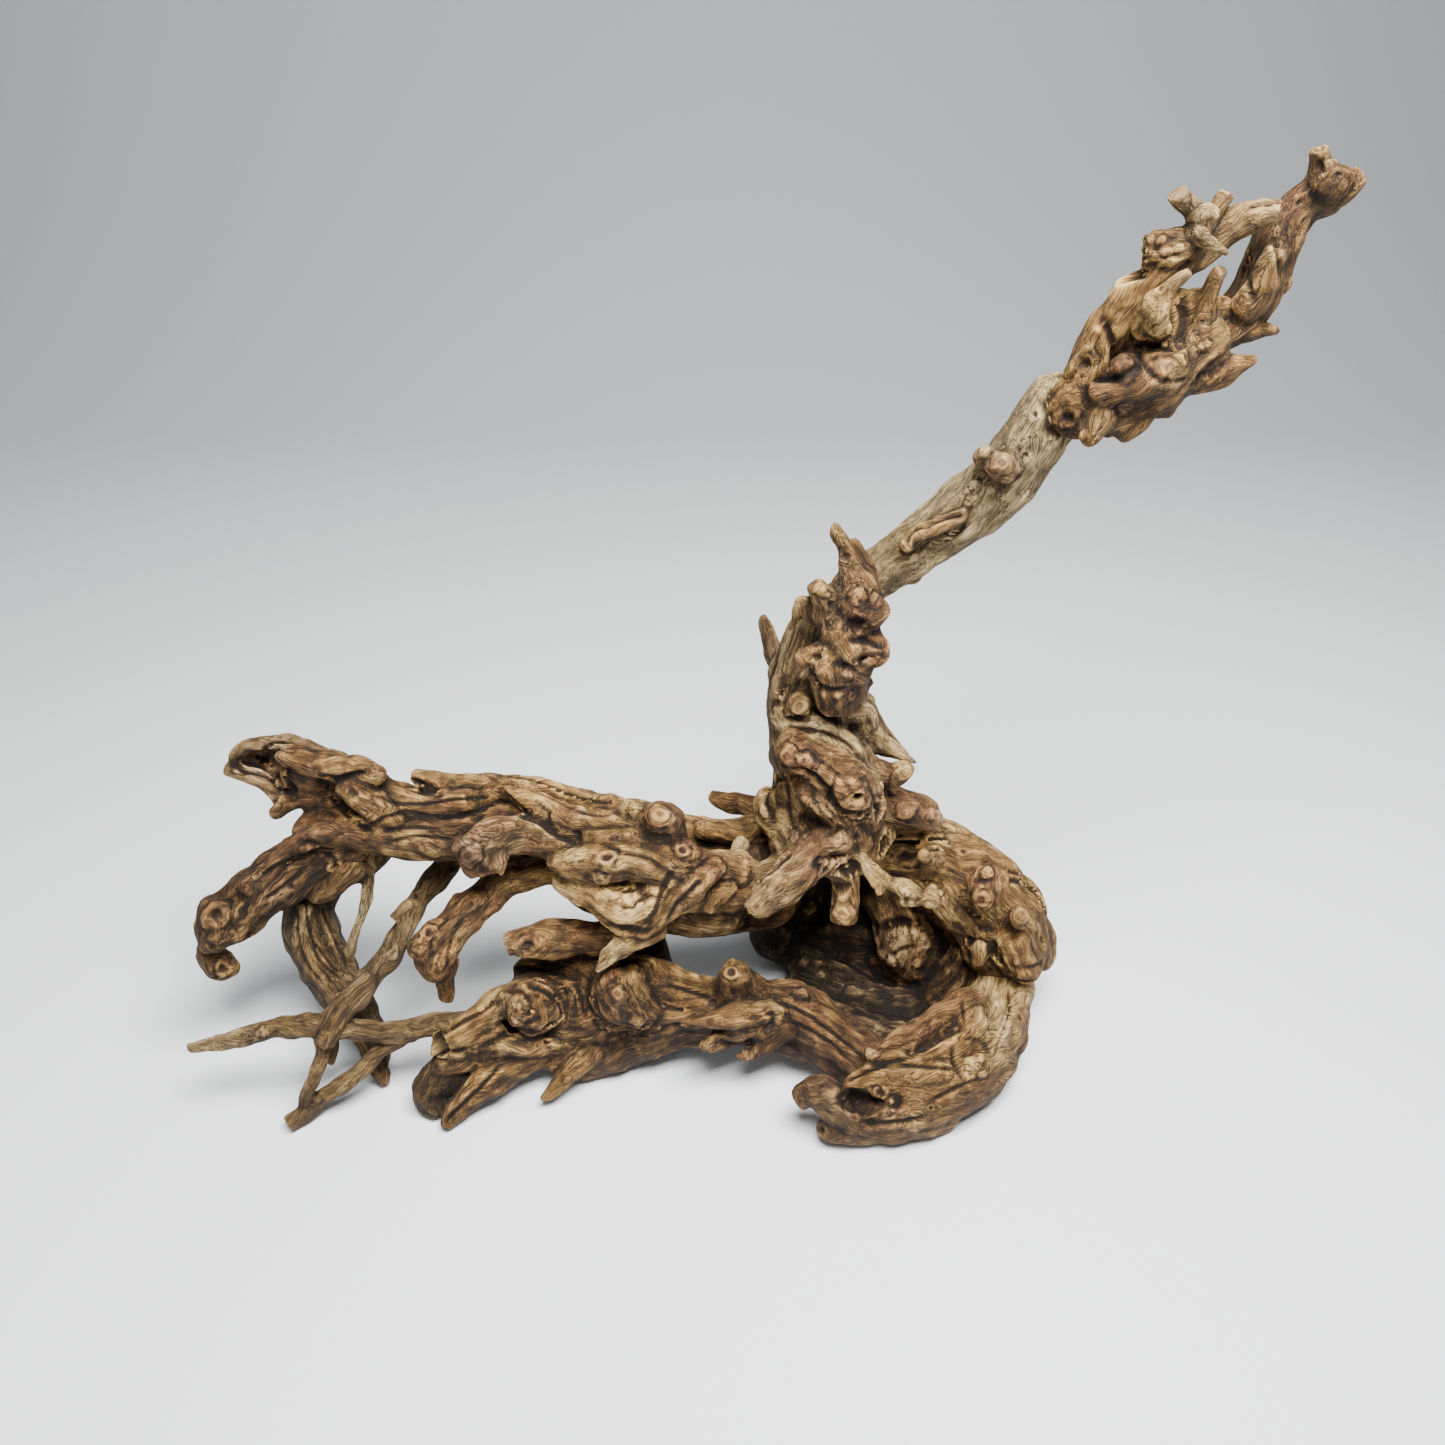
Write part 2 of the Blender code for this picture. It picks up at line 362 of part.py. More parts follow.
def clear_scene():
    for thing in list(bpy.data.objects):
        bpy.data.objects.remove(thing)


def wood(name, colour):
    material = bpy.data.materials.new(name)
    material.use_nodes = True
    shader = material.node_tree.nodes["Principled BSDF"]
    shader.inputs["Base Color"].default_value = (*colour, 1.0)
    shader.inputs["Roughness"].default_value = ROUGHNESS
    shader.inputs["Metallic"].default_value = 0.0
    material.diffuse_color = (*colour, 1.0)
    return material


def smooth_course(points):
    """A smooth curve through a limb's own points, with its radius, every LIMB_STEP."""
    course = np.array(points, float)
    padded = np.vstack([2 * course[0] - course[1], course, 2 * course[-1] - course[-2]])
    smooth = []
    for i in range(1, len(padded) - 2):
        before, start, end, after = padded[i - 1:i + 3]
        steps = max(2, math.ceil(np.linalg.norm((end - start)[:3]) / LIMB_STEP))
        for step in range(steps):
            t = step / steps
            smooth.append(0.5 * (2 * start + (end - before) * t
                                 + (2 * before - 5 * start + 4 * end - after) * t ** 2
                                 + (3 * start - before - 3 * end + after) * t ** 3))
    smooth.append(course[-1])
    return np.array(smooth)


def limb_curve(name, points):
    """A capped tube along a limb, thick where the limb is thick, with rounded tips."""
    course = smooth_course(points)
    shape = bpy.data.curves.new(name, "CURVE")
    shape.dimensions = "3D"
    shape.bevel_depth = 1.0
    shape.bevel_resolution = LIMB_SIDES
    shape.use_fill_caps = True
    start = course[0].copy()
    end = course[-1].copy()
    start[:3] += unit(course[0][:3] - course[1][:3]) * start[3] * TIP_LENGTH
    end[:3] += unit(course[-1][:3] - course[-2][:3]) * end[3] * TIP_LENGTH
    start[3] *= TIP_RADIUS
    end[3] *= TIP_RADIUS
    course = np.vstack([start, course, end])
    spline = shape.splines.new("POLY")
    spline.points.add(len(course) - 1)
    for point, (x, y, z, radius) in zip(spline.points, course):
        point.co = (*place((x, y, z)), 1.0)
        point.radius = radius * SCALE
    thing = bpy.data.objects.new(name, shape)
    bpy.context.collection.objects.link(thing)
    return thing


def unit(vector):
    return vector / max(np.linalg.norm(vector), 1e-9)


def place(point):
    """Metres from a point in drawing millimetres."""
    x, y, z = point
    return ((x - MIDDLE[0]) * SCALE, (y - MIDDLE[1]) * SCALE, z * SCALE)


def evaluated(thing):
    """A new mesh of what the object's modifiers, or its curve, make of it."""
    bpy.context.view_layer.update()
    graph = bpy.context.evaluated_depsgraph_get()
    return bpy.data.meshes.new_from_object(thing.evaluated_get(graph), depsgraph=graph)


def apply_modifiers(thing):
    """Replaces the object's mesh with the mesh that its modifiers make."""
    finished = evaluated(thing)
    thing.modifiers.clear()
    worn_out = thing.data
    thing.data = finished
    bpy.data.meshes.remove(worn_out)


def fuse(name, limbs):
    """One closed skin round all the limbs of a sub-part."""
    bundle = bmesh.new()
    for limb_name, points in limbs.items():
        tube = limb_curve(limb_name, points)
        skin = evaluated(tube)
        bundle.from_mesh(skin)
        bpy.data.meshes.remove(skin)
        bpy.data.objects.remove(tube)
    mesh = bpy.data.meshes.new(name)
    bundle.to_mesh(mesh)
    bundle.free()
    thing = bpy.data.objects.new(name, mesh)
    bpy.context.collection.objects.link(thing)
    remesh = thing.modifiers.new("one skin", "REMESH")
    remesh.mode = "VOXEL"
    remesh.voxel_size = SKIN_CELL
    soften = thing.modifiers.new("soften creases", "SMOOTH")
    soften.factor = 0.5
    soften.iterations = SMOOTH_PASSES
    apply_modifiers(thing)
    return thing


def weather(thing):
    """Lumps and small ridges, as rotted soft wood leaves them."""
    shape = bmesh.new()
    shape.from_mesh(thing.data)
    shape.normal_update()
    moved = []
    for vertex in shape.verts:
        lump = noise.noise(vertex.co / LUMP_WIDTH)
        fine = noise.noise(vertex.co / FINE_WIDTH)
        moved.append(vertex.co + vertex.normal * (LUMP_HEIGHT * lump + FINE_HEIGHT * fine))
    for vertex, place in zip(shape.verts, moved):
        vertex.co = place
    shape.to_mesh(thing.data)
    shape.free()


def facet(thing, budget):
    """Thins the skin to its share of the facets."""
    thing.data.calc_loop_triangles()
    thin = thing.modifiers.new("facets", "DECIMATE")
    thin.ratio = budget / len(thing.data.loop_triangles)
    thin.use_collapse_triangulate = True
    apply_modifiers(thing)


def islands(shape):
    """The separate bodies of a mesh, each as a set of vertices."""
    waiting = set(shape.verts)
    bodies = []
    while waiting:
        body = set()
        front = [next(iter(waiting))]
        while front:
            vertex = front.pop()
            if vertex in body:
                continue
            body.add(vertex)
            front.extend(edge.other_vert(vertex) for edge in vertex.link_edges)
        waiting -= body
        bodies.append(body)
    return bodies


def tidy_body(thing):
    """Keeps the largest body, drops slivers and leaves triangles only."""
    shape = bmesh.new()
    shape.from_mesh(thing.data)
    bmesh.ops.remove_doubles(shape, verts=shape.verts, dist=MERGE_DISTANCE)
    bmesh.ops.dissolve_degenerate(shape, edges=shape.edges, dist=MERGE_DISTANCE)
    bodies = islands(shape)
    keep = max(bodies, key=len)
    bmesh.ops.delete(shape, geom=[v for v in shape.verts if v not in keep], context="VERTS")
    bmesh.ops.triangulate(shape, faces=shape.faces)
    bmesh.ops.recalc_face_normals(shape, faces=shape.faces)
    shape.to_mesh(thing.data)
    shape.free()


def grown_copy(thing, gap):
    """A cutter: the sub-part's own shape, grown outwards by the gap."""
    shape = bmesh.new()
    shape.from_mesh(thing.data)
    shape.normal_update()
    for vertex in shape.verts:
        vertex.co += vertex.normal * gap * min(vertex.calc_shell_factor(), STEEPEST_OFFSET)
    mesh = bpy.data.meshes.new(thing.name + " cutter")
    shape.to_mesh(mesh)
    shape.free()
    cutter = bpy.data.objects.new(mesh.name, mesh)
    bpy.context.collection.objects.link(cutter)
    return cutter


def subtract(thing, cutter):
    cut = thing.modifiers.new("fork", "BOOLEAN")
    cut.operation = "DIFFERENCE"
    cut.solver = "EXACT"
    cut.object = cutter
    apply_modifiers(thing)


def bounds(thing):
    places = np.array([tuple(vertex.co) for vertex in thing.data.vertices])
    return places.min(axis=0), places.max(axis=0)


def near(first, second):
    """Whether the boxes of two sub-parts meet."""
    first_low, first_high = bounds(first)
    second_low, second_high = bounds(second)
    return bool(np.all(first_low < second_high) and np.all(second_low < first_high))


def ground_cutter():
    """A slab whose top is the ground, which leaves the resting places flat."""
    shape = bmesh.new()
    bmesh.ops.create_cube(shape, size=1.0)
    bmesh.ops.scale(shape, vec=(2 * SPREAD, 2 * SPREAD, GROUND_DEPTH), verts=shape.verts)
    bmesh.ops.translate(shape, vec=(0, 0, -GROUND_DEPTH / 2), verts=shape.verts)
    mesh = bpy.data.meshes.new("ground cutter")
    shape.to_mesh(mesh)
    shape.free()
    cutter = bpy.data.objects.new("ground cutter", mesh)
    bpy.context.collection.objects.link(cutter)
    return cutter


def build():
    clear_scene()
    ground = ground_cutter()
    fitted = []
    for name, (limbs, colour, budget) in SUBPARTS.items():
        thing = fuse(name, limbs())
        weather(thing)
        facet(thing, budget)
        if bounds(thing)[0][2] < 0:
            subtract(thing, ground)
        for earlier in fitted:
            if near(thing, earlier):
                cutter = grown_copy(earlier, JOINT_GAP)
                subtract(thing, cutter)
                bpy.data.objects.remove(cutter)
        tidy_body(thing)
        thing.data.materials.clear()
        thing.data.materials.append(wood(name + " wood", colour))
        fitted.append(thing)
        print(name, len(thing.data.polygons))
    bpy.data.objects.remove(ground)


build()
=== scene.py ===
import bpy
import bmesh
import math
import numpy as np
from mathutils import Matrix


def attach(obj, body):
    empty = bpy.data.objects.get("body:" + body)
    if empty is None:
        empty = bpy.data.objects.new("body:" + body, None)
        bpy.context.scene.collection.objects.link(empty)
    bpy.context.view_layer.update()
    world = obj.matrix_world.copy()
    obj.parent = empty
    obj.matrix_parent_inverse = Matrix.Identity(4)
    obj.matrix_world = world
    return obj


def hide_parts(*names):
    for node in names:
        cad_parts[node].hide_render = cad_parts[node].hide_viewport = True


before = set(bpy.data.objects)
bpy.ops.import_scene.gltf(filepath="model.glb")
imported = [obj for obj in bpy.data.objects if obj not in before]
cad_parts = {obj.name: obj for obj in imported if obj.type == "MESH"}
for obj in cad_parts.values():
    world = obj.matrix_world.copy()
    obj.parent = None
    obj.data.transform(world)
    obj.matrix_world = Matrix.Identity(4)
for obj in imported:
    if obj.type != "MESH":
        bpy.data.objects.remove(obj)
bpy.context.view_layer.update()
print("frame loaded")

# the limbs are drawn in millimetres: x right, y away, z up, and the radius last
mm = 0.001
drawingMiddle = np.array([-0.3, 4.6, 0.0])

# the camera, in drawing millimetres; the picture is square and this many pixels wide
view = {"place": (9.0, -365.0, 391.3), "tilt": 32.44, "lens": 28.65, "sensor": 36.0, "picture": 1445}
focal = view["lens"] / view["sensor"] * view["picture"]

# how the wood grows on its limbs, in drawing millimetres, shares and smoothing passes
growth = {
    "warps": [(12.0, 1.5), (5.0, 0.45)],    # size and amount of the bends out of true
    "limbStep": 1.5,          # spacing of the points along a limb
    "limbSides": 4,
    "tipLength": 0.45,        # a tip's length and end radius, as shares of the radius there
    "tipRadius": 0.62,
    "softenPasses": 4,
    "meltPasses": 36,         # how far the limbs melt into one another
    "meltPull": 0.6,
    "bulgeShare": 0.50,       # share of that smoothing that bulges take
    "quickCell": 1.7,
    "blendWidth": 2.2,        # over which two limbs share their relief
    "lumps": [(13.0, 1.1, 0.0), (6.0, 0.5, 9.0)],    # weathered lumps: size, height and offset
    "undersideShade": 0.34,   # painted shade on whatever faces down
    "paintedTopLight": 0.50,          # and painted light on whatever faces up
    "creaseDepth": 0.4,
    "creasePasses": 5,        # how widely creases, fine hollows and broad ones are looked for
    "finePasses": 3,
    "broadPasses": 25,
    "fullRadius": 9.0,        # limbs thinner than this have less relief, down to this share
    "thinRelief": 0.28,
    "limbsBlended": 3,
    "ringWidth": 2.3,         # of the rings inside a knot, their height and how they wander
    "ringHeight": 0.06,
    "ringWander": {"size": 3.5, "amount": 1.3},
    "rugged": {"size": 24.0, "middle": 0.75, "amount": 0.8, "least": 0.3, "most": 1.3},
    "lowest": 0.05,           # just above the floor
    "scatter": {"count": 9, "smallest": 0.9, "largest": 2.2},    # small knots with no place of their own
    "scatterKinds": {"ring": 0.18, "boss": 0.42, "pit": 0.30, "hollow": 0.10},
}

# how much painted shade falls in hollows, creases and grooves
hollowShades = {"broad": 0.32, "crease": 0.3, "groove": 0.20, "darkest": 1.8, "palest": -1.0}

# what counts as in the camera's sight: pixels to a cell, depth behind the nearest, and how square on
sight = {"cell": 4, "depth": 4.5, "facing": 0.05}

# drawn cracks: step of their path and margin round it in pixels, and how they fade at their ends
grooveDrawing = {"step": 4.0, "margin": 25, "fade": 9.0, "endShare": 0.25}

# sawn and broken ends: how far a cut reaches, in radii, how coarse it is and how pale
cutShape = {"wide": 1.7, "beyond": 2.5, "roughSize": 1.1, "edge": 0.5, "pale": 0.25}

# relief that follows the grain: size across the grain, how much longer along it, height
grainRelief = [
    {"size": 12.0, "stretch": 3.2, "height": 0.62, "offset": 0.0},
    {"size": 5.4, "stretch": 6.0, "height": 0.24, "offset": 31.0},
    {"size": 2.6, "stretch": 10.0, "height": 0.20, "offset": 67.0},
]
grainTwist = 0.012         # radians for each millimetre along a limb
grainTurn = 1.7            # and from one limb to the next, with a shift, so that no two are alike
grainShift = 13.7
grainTaper = 2.2           # the most that a thin end draws the grain together
grainWander = {"size": 17.0, "amount": 4.2, "fineSize": 7.0, "fineAmount": 1.1}

# how each kind of knot stands out, all as shares of its radius
knotKinds = {
    "ring": {"mound": 0.28, "centre": -0.12, "centreWidth": 0.30, "groove": -0.11, "grooveAt": 0.66},
    "hollow": {"mound": 0.26, "centre": -0.85, "centreWidth": 0.40, "groove": -0.08, "grooveAt": 0.98},
    "boss": {"mound": 0.44, "centre": 0.0, "centreWidth": 0.30, "groove": -0.08, "grooveAt": 1.10},
    "pit": {"mound": 0.05, "centre": -1.0, "centreWidth": 0.62, "groove": 0.0, "grooveAt": 1.00},
}

# and what all knots have: a wandering rim, grooves that come and go, and a moat round them
knotShape = {
    "rimSize": 0.9, "rimAmount": 0.34, "fineSize": 0.35, "fineAmount": 0.10,
    "patchSize": 0.8, "patchMiddle": 0.6, "patchAmount": 1.6, "patchMost": 1.5,
    "squash": 0.78, "moundWidth": 0.85, "grooveWidth": 0.12,
    "moat": 0.09, "moatAt": 1.18, "moatWidth": 0.16,
    "insideWidth": 0.95, "pushed": 1.05, "pushWidth": 3.0, "farthest": 3.5,
}


def dots(first, second):
    return np.einsum("ij,ij->i", first, second)


def unit(vector):
    return vector / max(np.linalg.norm(vector), 1e-9)


def gradientTable():
    dice = np.random.RandomState(11)
    order = dice.permutation(256)
    slopes = dice.normal(size=(256, 3))
    return order, slopes / np.linalg.norm(slopes, axis=1)[:, None]


noiseOrder, noiseSlopes = gradientTable()


def noise3(place):
    # smooth noise between about -1 and 1, one cell to a unit
    cell = np.floor(place).astype(np.int64)
    inside = place - cell
    ease = inside * inside * inside * (inside * (inside * 6 - 15) + 10)
    total = np.zeros(len(place))
    for corner in np.ndindex(2, 2, 2):
        pick = 0
        for axis in range(3):
            pick = noiseOrder[(pick + cell[:, axis] + corner[axis]) & 255]
        value = dots(noiseSlopes[pick], inside - np.array(corner))
        for axis in range(3):
            value = value * (ease[:, axis] if corner[axis] else 1 - ease[:, axis])
        total += value
    return total * 1.6


def smoothCourse(points, step):
    # a smooth curve through the limb's own points, radius included
    course = np.array(points, float)
    padded = np.vstack([2 * course[0] - course[1], course, 2 * course[-1] - course[-2]])
    smooth = []
    for i in range(1, len(padded) - 2):
        before, start, end, after = padded[i - 1:i + 3]
        steps = max(2, math.ceil(np.linalg.norm((end - start)[:3]) / step))
        for part in range(steps):
            t = part / steps
            smooth.append(0.5 * (2 * start + (end - before) * t
                                 + (2 * before - 5 * start + 4 * end - after) * t ** 2
                                 + (3 * start - before - 3 * end + after) * t ** 3))
    smooth.append(course[-1])
    return np.array(smooth)


def limbTube(name, points):
    # a capped tube with rounded tips
    course = smoothCourse(points, growth["limbStep"])
    start, end = course[0].copy(), course[-1].copy()
    start[:3] += unit(course[0][:3] - course[1][:3]) * start[3] * growth["tipLength"]
    end[:3] += unit(course[-1][:3] - course[-2][:3]) * end[3] * growth["tipLength"]
    start[3] *= growth["tipRadius"]
    end[3] *= growth["tipRadius"]
    course = np.vstack([start, course, end])
    curve = bpy.data.curves.new(name, "CURVE")
    curve.dimensions = "3D"
    curve.bevel_depth = 1.0
    curve.bevel_resolution = growth["limbSides"]
    curve.use_fill_caps = True
    spline = curve.splines.new("POLY")
    spline.points.add(len(course) - 1)
    for point, place, radius in zip(spline.points, (course[:, :3] - drawingMiddle) * mm, course[:, 3]):
        point.co = (*place, 1.0)
        point.radius = radius * mm
    thing = bpy.data.objects.new(name, curve)
    bpy.context.collection.objects.link(thing)
    return thing


def evaluatedMesh(thing):
    bpy.context.view_layer.update()
    graph = bpy.context.evaluated_depsgraph_get()
    return bpy.data.meshes.new_from_object(thing.evaluated_get(graph), depsgraph=graph)


def fuseLimbs(name, limbs, cell):
    # all the tubes of a piece become one closed skin
    bundle = bmesh.new()
    for limbName, points in limbs.items():
        tube = limbTube(limbName, points)
        skin = evaluatedMesh(tube)
        bundle.from_mesh(skin)
        bpy.data.objects.remove(tube)
        bpy.data.meshes.remove(skin)
    mesh = bpy.data.meshes.new(name)
    bundle.to_mesh(mesh)
    bundle.free()
    piece = bpy.data.objects.new(name, mesh)
    bpy.context.collection.objects.link(piece)
    remesh = piece.modifiers.new("one skin", "REMESH")
    remesh.mode = "VOXEL"
    remesh.voxel_size = cell * mm
    soften = piece.modifiers.new("soften creases", "SMOOTH")
    soften.factor = 0.5
    soften.iterations = growth["softenPasses"]
    finished = evaluatedMesh(piece)
    piece.modifiers.clear()
    piece.data = finished
    bpy.data.meshes.remove(mesh)
    return piece


def limbSamples(limbs):
    # places, radii, directions and two cross directions along every limb
    parts = {"place": [], "radius": [], "along": [], "side": [], "lift": [], "run": [], "widest": []}
    starts = [0]
    for points in limbs.values():
        course = smoothCourse(points, growth["limbStep"])
        place = course[:, :3]
        step = np.diff(place, axis=0)
        along = np.vstack([step, step[-1]])
        along /= np.linalg.norm(along, axis=1)[:, None]
        seed = np.array([0.0, 0.0, 1.0]) if abs(along[0][2]) < 0.8 else np.array([0.0, 1.0, 0.0])
        sides = [unit(np.cross(along[0], seed))]
        for direction in along:
            sides.append(unit(sides[-1] - direction * np.dot(sides[-1], direction)))
        sides = np.array(sides[1:])
        run = np.concatenate([[0], np.cumsum(np.linalg.norm(step, axis=1))])
        widest = np.full(len(place), course[:, 3].max())
        found = (place, course[:, 3], along, sides, np.cross(along, sides), run, widest)
        for key, values in zip(parts, found):
            parts[key].append(values)
        starts.append(starts[-1] + len(place))
    samples = {key: np.concatenate(values) for key, values in parts.items()}
    samples["starts"] = np.array(starts)
    return samples


def nearestLimbs(place, samples, count):
    # for each vertex its nearest limbs, the nearest sample on each, and their weights
    starts = samples["starts"][:-1]
    count = min(count, len(starts))
    limbs = np.zeros((len(place), count), int)
    picks = np.zeros((len(place), count), int)
    gaps = np.zeros((len(place), count))
    for low in range(0, len(place), 8000):
        block = place[low:low + 8000]
        reach = np.sqrt(np.maximum((block ** 2).sum(1)[:, None] + (samples["place"] ** 2).sum(1)[None]
                                   - 2 * block @ samples["place"].T, 0)) - samples["radius"][None]
        nearest = np.minimum.reduceat(reach, starts, axis=1)
        order = np.argsort(nearest, axis=1)[:, :count]
        for column in range(count):
            chosen = order[:, column]
            limbs[low:low + 8000, column] = chosen
            gaps[low:low + 8000, column] = nearest[np.arange(len(block)), chosen]
            for limb in np.unique(chosen):
                rows = np.nonzero(chosen == limb)[0]
                first, last = samples["starts"][limb:limb + 2]
                picks[low + rows, column] = first + reach[rows, first:last].argmin(axis=1)
    weights = np.exp(-(gaps - gaps[:, :1]) / growth["blendWidth"])
    return limbs, picks, weights / weights.sum(axis=1)[:, None]


def grainPlace(place, samples, limb, pick):
    # where a vertex lies in its limb's own grain: along it, and two ways across it, in millimetres
    offset = place - samples["place"][pick]
    along = samples["run"][pick] + dots(offset, samples["along"][pick])
    taper = np.clip(samples["widest"][pick] / np.maximum(samples["radius"][pick], 1.0), 1.0, grainTaper)
    turn = grainTwist * along * np.where(limb % 2 == 0, 1.0, -1.0) + limb * grainTurn
    ways = []
    for key, shift, fineShift in (("side", 0, 9), ("lift", 40, 60)):
        wander = noise3(place / grainWander["size"] + shift) * grainWander["amount"]
        fine = noise3(place / grainWander["fineSize"] + fineShift) * grainWander["fineAmount"]
        ways.append(dots(offset, samples[key][pick]) * taper + wander + fine)
    across, lift = ways
    turned = [across * np.cos(turn) - lift * np.sin(turn), across * np.sin(turn) + lift * np.cos(turn)]
    return np.column_stack([along, np.stack(turned, axis=1) + limb[:, None] * grainShift])


def reliefAt(grain):
    # rounded ridges with sharp grooves between them
    height = np.zeros(len(grain))
    for band in grainRelief:
        spot = np.column_stack([grain[:, 0] / band["stretch"], grain[:, 1:]])
        height += (np.abs(noise3(spot / band["size"] + band["offset"])) * 2.2 - 0.6) * band["height"]
    return height


def averaged(values, edges, passes, pull=1.0):
    # each vertex is pulled towards the middle of its neighbours
    first, second = edges[:, 0], edges[:, 1]
    count = len(values)
    degree = np.bincount(edges.ravel(), minlength=count).astype(float)
    for _ in range(passes):
        around = [(np.bincount(first, column[second], count) + np.bincount(second, column[first], count))
                  / degree for column in values.T]
        values = values * (1 - pull) + np.column_stack(around) * pull
    return values


def hollowness(place, normal, edges, passes):
    # above nought in hollows, below it on bumps, in millimetres
    return dots(averaged(place, edges, passes) - place, normal)


def meltLimbs(place, normal, edges):
    # fills the creases between limbs, and keeps most of each bulge
    shift = averaged(place, edges, growth["meltPasses"], growth["meltPull"]) - place
    share = np.where(dots(shift, normal) > 0, 1.0, growth["bulgeShare"])
    return place + shift * averaged(share[:, None], edges, 3)


def bentOutOfTrue(place):
    bend = place.copy()
    for size, amount in growth["warps"]:
        for axis in range(3):
            bend[:, axis] += noise3(place / size + 17.3 * (axis + 1)) * amount
    return bend


def seenPlaces(place):
    # where the camera sees each point: picture column, picture row and distance
    offset = place - np.array(view["place"])
    tilt = math.radians(view["tilt"])
    forward = offset[:, 1] * math.cos(tilt) - offset[:, 2] * math.sin(tilt)
    up = offset[:, 1] * math.sin(tilt) + offset[:, 2] * math.cos(tilt)
    middle = view["picture"] / 2
    return np.column_stack([middle + offset[:, 0] / forward * focal, middle - up / forward * focal]), forward


def inSight(seen, distance, place, normal):
    # which vertices face the camera with nothing of their own piece before them
    toCamera = np.array(view["place"]) - place
    toCamera /= np.linalg.norm(toCamera, axis=1)[:, None]
    facing = dots(normal, toCamera)
    cell = np.floor(seen / sight["cell"]).astype(int)
    cell -= cell.min(0) - 1
    nearest = np.full(cell.max(0) + 2, np.inf)
    np.minimum.at(nearest, (cell[:, 0], cell[:, 1]), distance)
    steps = [(dx, dy) for dx in (-1, 0, 1) for dy in (-1, 0, 1)]
    around = np.minimum.reduce([nearest[cell[:, 0] + dx, cell[:, 1] + dy] for dx, dy in steps])
    return (facing > sight["facing"]) & (distance < around + sight["depth"]), facing


def meshArray(items, key, size, kind=np.float32):
    flat = np.empty(len(items) * size, kind)
    items.foreach_get(key, flat)
    return flat.reshape(-1, size)


def meshNormals(mesh):
    return meshArray(mesh.vertex_normals, "vector", 3).astype(float)


def setPlaces(mesh, place):
    mesh.vertices.foreach_set("co", (place * mm).astype(np.float32).ravel())
    mesh.update()


def setAttribute(mesh, name, values):
    kind, key = ("FLOAT", "value") if values.ndim == 1 else ("FLOAT_VECTOR", "vector")
    layer = mesh.attributes.new(name, kind, "POINT")
    layer.data.foreach_set(key, values.astype(np.float32).ravel())


def grooveRelief(seen, distance, sighted, facing, grooves):
    # cracks and folds drawn on the camera's view: width and depth in millimetres, then picture points
    depth = np.zeros(len(seen))
    for width, deep, points in grooves:
        path = smoothCourse([(x, y, 0, 0) for x, y in points], grooveDrawing["step"])[:, :2]
        low, high = path.min(0) - grooveDrawing["margin"], path.max(0) + grooveDrawing["margin"]
        nearby = np.all((seen > low) & (seen < high), axis=1)
        rows = np.nonzero(sighted & nearby)[0]
        spot = seen[rows]
        nearest = np.full(len(rows), np.inf)
        for start, end in zip(path[:-1], path[1:]):
            span = end - start
            share = np.clip(((spot - start) @ span) / max(span @ span, 1e-6), 0, 1)
            nearest = np.minimum(nearest, np.linalg.norm(spot - start - share[:, None] * span, axis=1))
        ends = np.linalg.norm(spot - path[0], axis=1), np.linalg.norm(spot - path[-1], axis=1)
        taper = np.clip(np.minimum(*ends) / grooveDrawing["fade"] + grooveDrawing["endShare"], 0, 1)
        away = nearest * (distance[rows] / focal)
        cut = deep * taper * np.exp(-(away / width) ** 2) * np.clip(facing[rows] * 3, 0, 1)
        depth[rows] = np.where(np.abs(cut) > np.abs(depth[rows]), cut, depth[rows])
    return depth


def knotRelief(place, normal, samples, pick, knots):
    # height that the knots add, the grain pushed round them, and the rings inside them
    every = knotShape
    height, rings, inside = np.zeros((3, len(place)))
    pushed = place.copy()
    for x, y, z, radius, kind in knots:
        shape = knotKinds[kind]
        nearest = np.argmin(((place - np.array([x, y, z])) ** 2).sum(1))
        offset = place - place[nearest]
        along = samples["along"][pick[nearest]]
        across = offset - (offset @ along)[:, None] * along
        ragged = 1 + noise3(place / (radius * every["rimSize"]) + nearest % 97) * every["rimAmount"]
        ragged += noise3(place / (radius * every["fineSize"])) * every["fineAmount"]
        patches = noise3(place / (radius * every["patchSize"]) + nearest % 89) * every["patchAmount"]
        patchy = np.clip(every["patchMiddle"] + patches, 0.0, every["patchMost"])
        reach = np.sqrt((across ** 2).sum(1) + (offset @ along * every["squash"]) ** 2) * ragged
        facing = np.clip(normal @ normal[nearest] * 1.6 + 0.3, 0, 1)
        share = reach / radius
        near = share < every["farthest"]
        rise = shape["mound"] * np.exp(-(share / every["moundWidth"]) ** 4)
        rise += shape["centre"] * np.exp(-(share / shape["centreWidth"]) ** 2)
        rise += shape["groove"] * patchy * np.exp(-((share - shape["grooveAt"]) / every["grooveWidth"]) ** 2)
        rise -= every["moat"] * patchy * np.exp(-((share - every["moatAt"]) / every["moatWidth"]) ** 2)
        height += np.where(near, rise * radius * facing, 0)
        push = np.minimum(1.0, (radius * every["pushed"] / np.maximum(reach, 0.3)) ** 2) * facing
        push *= np.exp(-(share / every["pushWidth"]) ** 2)
        pushed -= across * np.where(near, push, 0)[:, None]
        within = np.exp(-(share / every["insideWidth"]) ** 4) * facing
        rings = np.where(within > inside, reach, rings)
        inside = np.maximum(inside, within)
    return height, pushed, rings, inside


def drawnKnots(knots, seen, distance, sighted, place):
    # knots drawn on the camera's view, by kind: picture column, row and radius
    placed = []
    for kind, drawn in knots.items():
        for column, row, radius in drawn:
            away = np.linalg.norm(seen - np.array([column, row]), axis=1)
            spot = np.argmin(np.where(sighted, away, away + 500))
            placed.append((*place[spot], radius * distance[spot] / focal, kind))
    return placed


